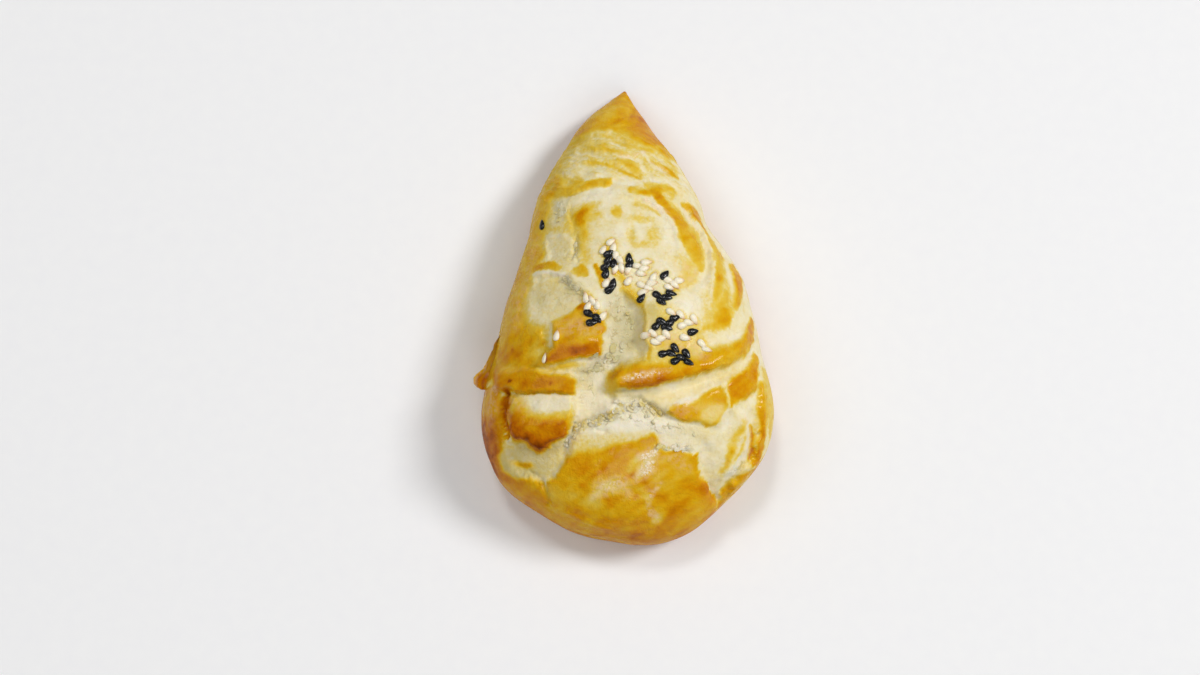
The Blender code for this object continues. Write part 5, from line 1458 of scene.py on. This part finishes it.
def bent_place(finish, place, size, reach):
    """Place moved to and fro by a noise, so that straight patterns run crooked."""
    bend = finish.noise(place, size, output="Color")
    bend = finish.node("VectorMath", {"operation": "SUBTRACT"}, {0: bend, 1: (0.5, 0.5, 0.5)})
    bend = finish.node("VectorMath", {"operation": "SCALE"}, {0: bend, "Scale": reach * MM})
    return finish.node("VectorMath", {"operation": "ADD"}, {0: place, 1: bend})


def flakes(finish, place):
    """Crooked cells like bits of a thin sheet: a random height for each, and the cracks between."""
    bent = bent_place(finish, place, BIT_BEND_SIZE, BIT_BEND_REACH)
    values = {"Vector": bent, "Scale": 1.0 / (BIT_SIZE * MM)}
    bits = finish.node("TexVoronoi", None, values, "Color")
    bits = finish.node("SeparateColor", None, {0: bits})
    edge = finish.node("TexVoronoi", {"feature": "DISTANCE_TO_EDGE"}, values, "Distance")
    some = finish.noise(place, 2.4, 2.0)
    return bits, (1.0 - edge.step(*STEPS["between bits"])) * some.step(*STEPS["cracked places"])


def crust_finish():
    """Colour, shine and small bumps of all dough, read from what is stored at its points."""
    finish = Finish("egg-washed crust")
    place = finish.place()
    baked, tear, film, thin = [finish.stored(name) for name in ("bake", "torn", "film", "thin")]
    blotch, dimple, fleck, fine = [finish.noise(place, *grain) for grain in GRAINS.values()]
    pale = 1.0 - baked.step(*STEPS["browned"])
    flaky = pale * (0.22 + 0.78 * tear.step(*STEPS["torn"]))
    bits, cracks = flakes(finish, place)
    # The rim of a stroke, where wash is half there, is broken up the most
    inside = baked.step(*STEPS["inside a stroke"])
    border = 4.0 * inside * (1.0 - inside)
    level = baked + 0.14 * (blotch - 0.5) + (0.12 + 0.26 * border) * (fleck - 0.5)
    level = level + 0.10 * flaky * (bits - 0.5)
    colour = finish.node("ValToRGB", {"stops": BAKING}, {0: level})
    # Over the baked colour: oily sheet and painted shade, crumb, cracks, milky film with painted glints,
    # and painted glints on the thick film
    # Oily olive over pale dough, which also stands in as painted shade in hollows, windows and cracks
    colour = finish.mix(thin * (0.70 + 0.6 * (blotch - 0.4)) * pale, colour, OIL_AND_SHADE_COLOUR)
    crumb = tear * (0.45 + 0.9 * fleck) * (1.0 - baked.step(*STEPS["free of crumb"]))
    colour = finish.mix(crumb * 0.5, colour, CRUMB_COLOUR)
    colour = finish.mix(cracks * flaky * 0.55, colour, CRACK_COLOUR)
    # Milky film, part of which is painted highlight standing in for glints of the egg wash
    milky_film_and_glints = film * (dimple * 0.5 + fleck * 0.5).step(*STEPS["film"])
    colour = finish.mix(milky_film_and_glints * 0.8, colour, FILM_AND_GLINT_COLOUR)
    # Painted glints: bright specks on the thick film that stand in for the egg wash's sparkle
    painted_glints = film.step(*STEPS["thick film under painted glints"]) * (fine * 0.6 + fleck * 0.4).step(*STEPS["painted_glints"])
    colour = finish.mix(painted_glints * 0.8, colour, PAINTED_GLINT_COLOUR)
    # Egg wash shines, and the brush reached only the upper side
    glaze = baked.step(*STEPS["glazed"]) * (1.0 - 0.8 * tear)
    brush = STEPS["height of the brush in metres"]
    brushed = finish.node("SeparateXYZ", None, {0: place}, 2).step(*brush)
    height = (fleck - 0.5) * (0.12 + 0.30 * tear)
    height = height + (fine - 0.5) * (0.06 + 0.12 * glaze + 0.12 * tear)
    height = height + (dimple - 0.5) * (0.10 + 0.30 * glaze)
    height = height + flaky * (0.14 * bits - 0.06 * cracks)
    return finish.put(
        Base_Color=colour,
        Roughness=0.52 - 0.30 * glaze + 0.10 * (fine - 0.5),
        Coat_Weight=(0.03 + 0.17 * glaze) * brushed,
        Coat_Roughness=0.13,
        Specular_IOR_Level=0.02,
        Specular_Tint=(1.0, 0.82, 0.55, 1.0),
        Subsurface_Weight=0.2,
        Subsurface_Radius=(1.0, 0.6, 0.25),
        Subsurface_Scale=0.0016,
        Normal=finish.bump(0.8, height),
    )


def base_finish():
    """Evenly browned dough that lay on the tray."""
    finish = Finish("tray-baked base")
    place = finish.place()
    blotch = finish.noise(place, 7.0, 4.0, 0.4)
    fleck = finish.noise(place, 1.2, 3.0)
    level = 0.52 + 0.5 * (blotch - 0.35) + 0.3 * (fleck - 0.5)
    height = (fleck - 0.5) * 0.2 + (blotch - 0.5) * 0.3
    return finish.put(
        Base_Color=finish.node("ValToRGB", {"stops": BAKING}, {0: level}),
        Roughness=0.62 + 0.12 * (fleck - 0.5),
        Normal=finish.bump(0.6, height),
    )


crust.data.materials.append(crust_finish())
crust.data.materials.append(base_finish())
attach(crust, "root")
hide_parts("samsa")
print("crust material:", len(crust.data.materials[0].node_tree.nodes), "nodes")

# %% [markdown]
# ## Shape of a sesame seed
# A seed is a flat drop. A ray from above finds the skin under each place, so that the seed lies on
# the dough and leans with it, a little sunk in.

# %% Seed shape
SEED_SIDES = 12
SEED_RINGS = 8
SEED_TAPER = 0.4
SEED_EDGE_THINNING = 0.25
SEED_LEAN = 0.12
SEED_SCALES = (0.92, 1.02)
PALE_SLIMNESS = 0.9


def add_seed(bm, place, layer, scale, slimness):
    """A flat drop, its narrow end along +X, put in place; the layer holds how near the tip it is."""
    made = bmesh.ops.create_uvsphere(bm, u_segments=SEED_SIDES, v_segments=SEED_RINGS, radius=0.5)
    verts = made["verts"]
    bmesh.ops.rotate(bm, verts=verts, matrix=Matrix.Rotation(math.pi / 2.0, 3, "Y"))
    for v in verts:
        narrow = 1.0 - 2.0 * SEED_TAPER * v.co.x
        v[layer] = v.co.x + 0.5
        plump = 1.0 - SEED_EDGE_THINNING * abs(2.0 * v.co.y)
        v.co = Vector((v.co.x * SEED_LONG, v.co.y * SEED_BROAD * narrow * slimness,
                       v.co.z * SEED_THICK * narrow * plump)) * scale
    bmesh.ops.transform(bm, matrix=place, verts=verts)


def skin_under(x, y):
    """Place on the skin under a point of the plan, and the skin's direction there."""
    spot, normal, _, _ = skin_tree.ray_cast(Vector((x, y, 100.0)), Vector((0.0, 0.0, -1.0)))
    return spot, normal


def askew(normal, lean, draw):
    """A direction turned a little off, at random."""
    off = Vector((draw.uniform(-lean, lean), draw.uniform(-lean, lean), 0.0))
    return (normal + off).normalized()


def lying(normal, way):
    """Turn that lays a thing with its length along a way in plan and its top along the normal."""
    across = normal.cross(Vector((math.cos(way), math.sin(way), 0.0))).normalized()
    return Matrix((across.cross(normal), across, normal)).transposed()


def order_faces(bm):
    """Puts the faces in the order of their points, since a sphere's come in another order each run."""
    bm.verts.index_update()
    in_order = sorted(bm.faces, key=lambda face: sorted(v.index for v in face.verts))
    for rank, face in enumerate(in_order):
        face.index = rank
    bm.faces.sort()


def lay_seeds(name, spots, slimness, draw):
    bm = bmesh.new()
    layer = bm.verts.layers.float.new("tip")
    for x, y, turn in spots:
        spot, normal = skin_under(x, y)
        normal = askew(normal, SEED_LEAN, draw)
        place = lying(normal, math.radians(turn)).to_4x4()
        place.translation = spot + normal * SEED_RAISE
        add_seed(bm, place, layer, draw.uniform(*SEED_SCALES), slimness)
    face_outwards(bm)
    order_faces(bm)
    fit_inside(bm)
    return finish_mesh(name, bm)


draw = random.Random(21)
dark_seeds = lay_seeds("black_sesame", places[:dark_count], 1.0, draw)
pale_seeds = lay_seeds("white_sesame", places[dark_count:], PALE_SLIMNESS, draw)
print("seeds:", len(dark_seeds.data.polygons), "and", len(pale_seeds.data.polygons), "faces")

# %% [markdown]
# ## Seed coats
# A black sesame seed has a wrinkled, slightly bluish coat with a dull shine. A white one is hulled
# ivory, a little toasted towards its narrow end.

# %% Seed materials


def dark_seed_finish():
    finish = Finish("black sesame coat")
    place = finish.place()
    grain = finish.noise(place, 0.45, 3.0)
    colour = finish.mix(grain.step(0.4, 0.75), rgb(5, 5, 6), rgb(20, 21, 25))
    return finish.put(Base_Color=colour, Roughness=0.26 + 0.2 * (grain - 0.5),
                      Specular_IOR_Level=0.5, Normal=finish.bump(0.5, grain * 0.15))


def pale_seed_finish():
    finish = Finish("white sesame coat")
    place = finish.place()
    tip = finish.stored("tip")
    grain = finish.noise(place, 0.6, 3.0)
    colour = finish.mix(grain.step(0.3, 0.7), rgb(242, 229, 198), rgb(250, 242, 220))
    toasted = tip.step(0.55, 1.05) * (0.4 + grain)
    colour = finish.mix(toasted, colour, rgb(214, 164, 100))
    return finish.put(Base_Color=colour, Roughness=0.42 + 0.2 * (grain - 0.5),
                      Subsurface_Weight=0.15, Subsurface_Radius=(1.0, 0.6, 0.3),
                      Subsurface_Scale=0.0008, Normal=finish.bump(0.35, grain * 0.12))


dark_seeds.data.materials.append(dark_seed_finish())
pale_seeds.data.materials.append(pale_seed_finish())
for seeds in (dark_seeds, pale_seeds):
    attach(seeds, "root")

# %% [markdown]
# ## Ear at the left side
# A thin ear of dough stands out of the left side where the sheets were pinched. It is a slab cut
# into cells. Each row of cells runs from a place on the body to a place on the free edge, and the
# free edge curls up.

# %% Ear
# Place on the body, then place on the free edge, from the upper end down
EAR_ROWS = (
    ((-32.6, -10.4, 17.4), (-33.4, -10.4, 17.8)), ((-33.2, -13.0, 17.0), (-35.0, -13.2, 17.8)),
    ((-33.6, -15.6, 16.6), (-36.2, -16.0, 17.6)), ((-34.0, -17.8, 16.2), (-37.3, -18.2, 17.2)),
    ((-34.4, -19.6, 15.6), (-38.0, -19.8, 17.0)), ((-34.8, -21.0, 15.0), (-39.7, -20.8, 16.6)),
    ((-35.2, -22.2, 14.4), (-40.5, -21.9, 16.0)), ((-35.6, -23.4, 13.8), (-40.6, -23.1, 15.4)),
    ((-36.0, -24.8, 13.2), (-39.8, -24.4, 14.8)))
EAR_THICK = 0.8
EAR_THINNING = 0.5
EAR_CURL = 1.3
EAR_SAG = 0.3
EAR_SHEETS = 2.5
# How far its free edge wanders, and the length of the bends
EAR_WANDER = 0.35
EAR_BENDS = 1.8
CELLS_DOWN_EAR = 60
CELLS_OVER_EAR = 20
CELLS_THROUGH_EAR = 2


def ear_point(down, over):
    """Place on the ear: down its length and over from the body to the free edge, both 0 to 1."""
    rows = np.array(EAR_ROWS)
    spot = down * (len(rows) - 1)
    steps = np.arange(len(rows))
    body = np.array([np.interp(spot, steps, rows[:, 0, k]) for k in range(3)])
    free = np.array([np.interp(spot, steps, rows[:, 1, k]) for k in range(3)])
    point = body + (free - body) * over
    point[2] += EAR_CURL * over ** 3 - EAR_SAG * EAR_CURL * math.sin(math.pi * over)
    return point


def make_ear():
    bm = box_of_cells(1.0, (CELLS_OVER_EAR, CELLS_DOWN_EAR, CELLS_THROUGH_EAR))
    free_edge = []
    for v in bm.verts:
        over = v.co.x + 0.5
        x, y, z = ear_point(0.5 - v.co.y, over)
        uneven = noise.noise_vector(Vector((x, y, z)) / EAR_BENDS) * EAR_WANDER * over
        v.co = Vector((x, y, z + v.co.z * EAR_THICK * (1.1 - EAR_THINNING * over))) + uneven
        free_edge.append(over)
    bmesh.ops.smooth_vert(bm, verts=bm.verts, factor=0.5, use_axis_x=True, use_axis_y=True,
                          use_axis_z=True)
    face_outwards(bm)
    inside = fit_inside(bm)
    free_edge = np.array(free_edge)
    uneven = noise_at(inside, 3.0, 12.0)
    sheets = np.sin(EAR_SHEETS * math.tau * (free_edge + 0.15 * uneven))
    # Painted shade: the lower part of the ear, towards the body, is darkened and loses its film
    painted_shade = smooth(-19.5, -22.0, inside[:, 1]) * smooth(0.92, 0.7, free_edge)
    store(bm, bake=0.50 + 0.12 * uneven + 0.10 * sheets + 0.26 * painted_shade,
          torn=0.3 * smooth(0.9, 1.0, free_edge),
          film=(0.35 + 0.4 * sheets) * (1.0 - 0.8 * painted_shade), thin=0.0)
    return finish_mesh("ear", bm)


ear = make_ear()
ear.data.materials.append(crust.data.materials[0])
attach(ear, "root")
print("ear:", len(ear.data.polygons), "faces")

# %% [markdown]
# ## Crumbs in the tear
# Where the sheet tore, whitish crumbs stand in the groove. Each one is a small ball of few faces,
# flattened and dented by a noise, and they are strewn along the same lines as the torn places.

# %% Crumbs
CRUMBS_PER_MM = 2.2
CRUMB_SPREAD = 0.45
CRUMB_SIZES = (0.3, 0.9)
# Length, breadth and thickness of a crumb against its size, and how deep its dents are
CRUMB_FORM = (1.5, 1.0, 0.45)
CRUMB_DENTS = 0.45
CRUMB_RAISE = 0.1
# Oily olive of the crumbs, partly painted shade where they lie in the tear
CRUMB_OIL_AND_SHADE = 0.3


def near_line(a, b, widths, spread, draw):
    """A place strewn near the line from a to b, where the widths at its ends scale the spread."""
    t = draw.random()
    width = widths[0] + t * (widths[1] - widths[0])
    x = a[0] + t * (b[0] - a[0]) + draw.gauss(0.0, spread) * width
    y = a[1] + t * (b[1] - a[1]) + draw.gauss(0.0, spread) * width
    return x, y


def crumb_spots(draw):
    """x, y and size of the crumbs along the tears."""
    spots = []
    for strength, line in TEARS.values():
        for a, b in zip(line[:-1], line[1:]):
            count = int(math.dist(a[:2], b[:2]) * CRUMBS_PER_MM * strength ** 3)
            for _ in range(count):
                x, y = near_line(a, b, (a[2], b[2]), CRUMB_SPREAD, draw)
                spots.append((x, y, draw.uniform(*CRUMB_SIZES)))
    return spots


def strew_crumbs():
    draw = random.Random(33)
    bm = bmesh.new()
    for x, y, size in crumb_spots(draw):
        spot, normal = skin_under(x, y)
        made = bmesh.ops.create_icosphere(bm, subdivisions=2, radius=0.5)
        turn = Matrix.Rotation(draw.uniform(0.0, math.pi), 3, "Z")
        for v in made["verts"]:
            dent = 1.0 + CRUMB_DENTS * noise.noise(v.co * 4.0 + spot)
            v.co = turn @ Vector([c * form for c, form in zip(v.co, CRUMB_FORM)]) * dent * size
            v.co += spot + normal * CRUMB_RAISE * size
    face_outwards(bm)
    browned = BARE + 0.12 * noise_at(fit_inside(bm), 2.0, 14.0)
    store(bm, bake=browned, torn=1.0, film=0.0, thin=CRUMB_OIL_AND_SHADE)
    return finish_mesh("crumbs", bm)


crumbs = strew_crumbs()
crumbs.data.materials.append(crust.data.materials[0])
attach(crumbs, "root")
print("crumbs:", len(crumbs.data.polygons), "faces")

# %% [markdown]
# ## Flakes
# Layers of baked dough break into thin flakes along the tears and the edges of the windows. Each
# flake is a flat cone of few sides, made ragged by a noise and curled, that lies a little askew.

# %% Flakes
# Flakes per millimetre, how far off the line they lie, how oily they are (an olive that is partly
# painted shade), then x, y of the line
FLAKES = {
    "torn edge": (2.6, 0.8, 0.1, (
        (-14.6, -40.4), (-12.0, -38.0), (-7.0, -36.4), (-3.0, -35.0), (1.0, -32.6), (5.4, -32.6),
        (9.6, -34.6))),
    "above the torn edge": (1.0, 1.4, 0.2, ((-3.0, -33.4), (1.0, -31.8), (5.0, -32.4))),
    "edge of the middle window": (1.1, 0.35, 0.6, ((-15.6, 2.2), (-13.0, -1.4), (-9.8, -4.0))),
    "edge of the upper window": (0.9, 0.35, 0.5, ((-12.8, 13.4), (-12.6, 8.6), (-14.0, 6.4))),
    "high left window": (0.8, 1.2, 0.4, ((-19.0, 26.0), (-16.6, 22.0), (-17.0, 18.0))),
    "hollow": (0.5, 1.6, 1.0, ((0.0, -8.0), (1.0, -14.0), (-4.0, -20.0), (-10.0, -24.0))),
    "edge of the dome gold": (0.9, 0.35, 0.1, ((8.6, -42.0), (11.0, -43.2), (15.0, -43.0), (18.2, -43.8))),
}
FLAKE_SIZES = (0.7, 1.9)
FLAKE_THICK = 0.16
FLAKE_SIDES = 9
# Length and breadth of a flake against its size, and how ragged its outline is
FLAKE_FORM = (1.5, 0.9)
FLAKE_RAGGED = 0.6
FLAKE_CURLS = (0.1, 0.6)
FLAKE_LEAN = 0.3
FLAKE_RAISE = 0.08
# Spread of the flakes off their line and of their turn off its direction
FLAKE_SPREAD = 0.6
FLAKE_BROWNS = (0.08, 0.16, 0.22, 0.30)
FLAKE_TORN = 0.4


def add_flake(bm, spot, normal, way, size, draw):
    """One ragged, slightly curled flake lying askew on the skin; gives its vertices back."""
    made = bmesh.ops.create_cone(bm, cap_ends=True, cap_tris=True, segments=FLAKE_SIDES,
                                 radius1=0.5, radius2=0.42, depth=1.0)
    normal = askew(normal, FLAKE_LEAN, draw)
    turn = lying(normal, way)
    curl = draw.uniform(*FLAKE_CURLS)
    for v in made["verts"]:
        uneven = 1.0 + FLAKE_RAGGED * noise.noise(v.co * 2.2 + spot)
        x = FLAKE_FORM[0] * v.co.x * uneven
        y = FLAKE_FORM[1] * v.co.y * uneven
        v.co = turn @ Vector((x * size, y * size, v.co.z * FLAKE_THICK + curl * size * x * x))
        v.co += spot + FLAKE_RAISE * normal
    return made["verts"]


def lay_flakes():
    """All flakes in one mesh, with how browned and how oily each one is; the oily olive is partly painted
    shade.
    """
    draw = random.Random(57)
    bm = bmesh.new()
    looks = []
    for per_mm, spread, oily_and_shade, line in FLAKES.values():
        for a, b in zip(line[:-1], line[1:]):
            along = math.atan2(b[1] - a[1], b[0] - a[0])
            for _ in range(round(math.dist(a, b) * per_mm)):
                spot, normal = skin_under(*near_line(a, b, (spread, spread), FLAKE_SPREAD, draw))
                size = draw.uniform(*FLAKE_SIZES)
                way = along + draw.gauss(0.0, FLAKE_SPREAD)
                verts = add_flake(bm, spot, normal, way, size, draw)
                looks += [(draw.choice(FLAKE_BROWNS), oily_and_shade)] * len(verts)
    face_outwards(bm, soft=False)
    browned, oily_and_shade = np.array(looks).T
    browned = browned + 0.10 * noise_at(fit_inside(bm), 1.5, 14.0)
    store(bm, bake=browned, torn=FLAKE_TORN, film=0.0, thin=oily_and_shade)
    return finish_mesh("flakes", bm)


flake_bits = lay_flakes()
flake_bits.data.materials.append(crust.data.materials[0])
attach(flake_bits, "root")
print("flakes:", len(flake_bits.data.polygons), "faces")

# %% [markdown]
# ## Table and light
# The table is a plain pale sheet. One large soft lamp stands high at the upper right, as a window
# would. Three weaker lamps and the room give the rest, so the left side falls into gentle shade.

# %% Table and light
TABLE_HALF = 1.5
# Place in metres, width in metres and power in watts
LAMPS = {
    "window": ((1.54, 0.46, 1.70), 0.70, 29.8),
    "front light": ((0.10, -0.99, 0.96), 0.60, 3.6),
    "left fill": ((-0.8, 0.08, 1.1), 0.80, 2.3),
    "high back light": ((-0.25, 0.60, 1.40), 0.30, 4.4),
}
LIT = Vector((0.0, 0.0, 0.02))
ROOM_COLOUR = (1.0, 0.985, 0.96, 1.0)
ROOM_STRENGTH = 0.17


def make_table():
    bm = bmesh.new()
    bmesh.ops.create_grid(bm, x_segments=4, y_segments=4, size=TABLE_HALF)
    mesh = bpy.data.meshes.new("table")
    bm.to_mesh(mesh)
    bm.free()
    table = bpy.data.objects.new("table", mesh)
    bpy.context.scene.collection.objects.link(table)
    finish = Finish("pale table")
    place = finish.place()
    grain = finish.noise(place, 4.0, 3.0)
    colour = finish.mix(grain, rgb(243, 243, 245), rgb(247, 247, 247))
    table.data.materials.append(finish.put(Base_Color=colour, Roughness=0.7))


def make_lamp(name, place, size, power):
    """A round lamp that shines at the middle of the pasty."""
    lamp = bpy.data.lights.new(name, "AREA")
    lamp.shape = "DISK"
    lamp.size = size
    lamp.energy = power
    thing = bpy.data.objects.new(name, lamp)
    thing.location = place
    thing.rotation_euler = (Vector(place) - LIT).to_track_quat("Z", "Y").to_euler()
    bpy.context.scene.collection.objects.link(thing)


make_table()
for name, settings in LAMPS.items():
    make_lamp(name, *settings)
room = bpy.data.worlds.new("room")
room.use_nodes = True
background = room.node_tree.nodes["Background"]
background.inputs["Color"].default_value = ROOM_COLOUR
background.inputs["Strength"].default_value = ROOM_STRENGTH
bpy.context.scene.world = room
print(len(LAMPS), "lamps of", sum(power for _, _, power in LAMPS.values()), "watts in all")
bpy.context.scene.view_settings.view_transform = "Standard"
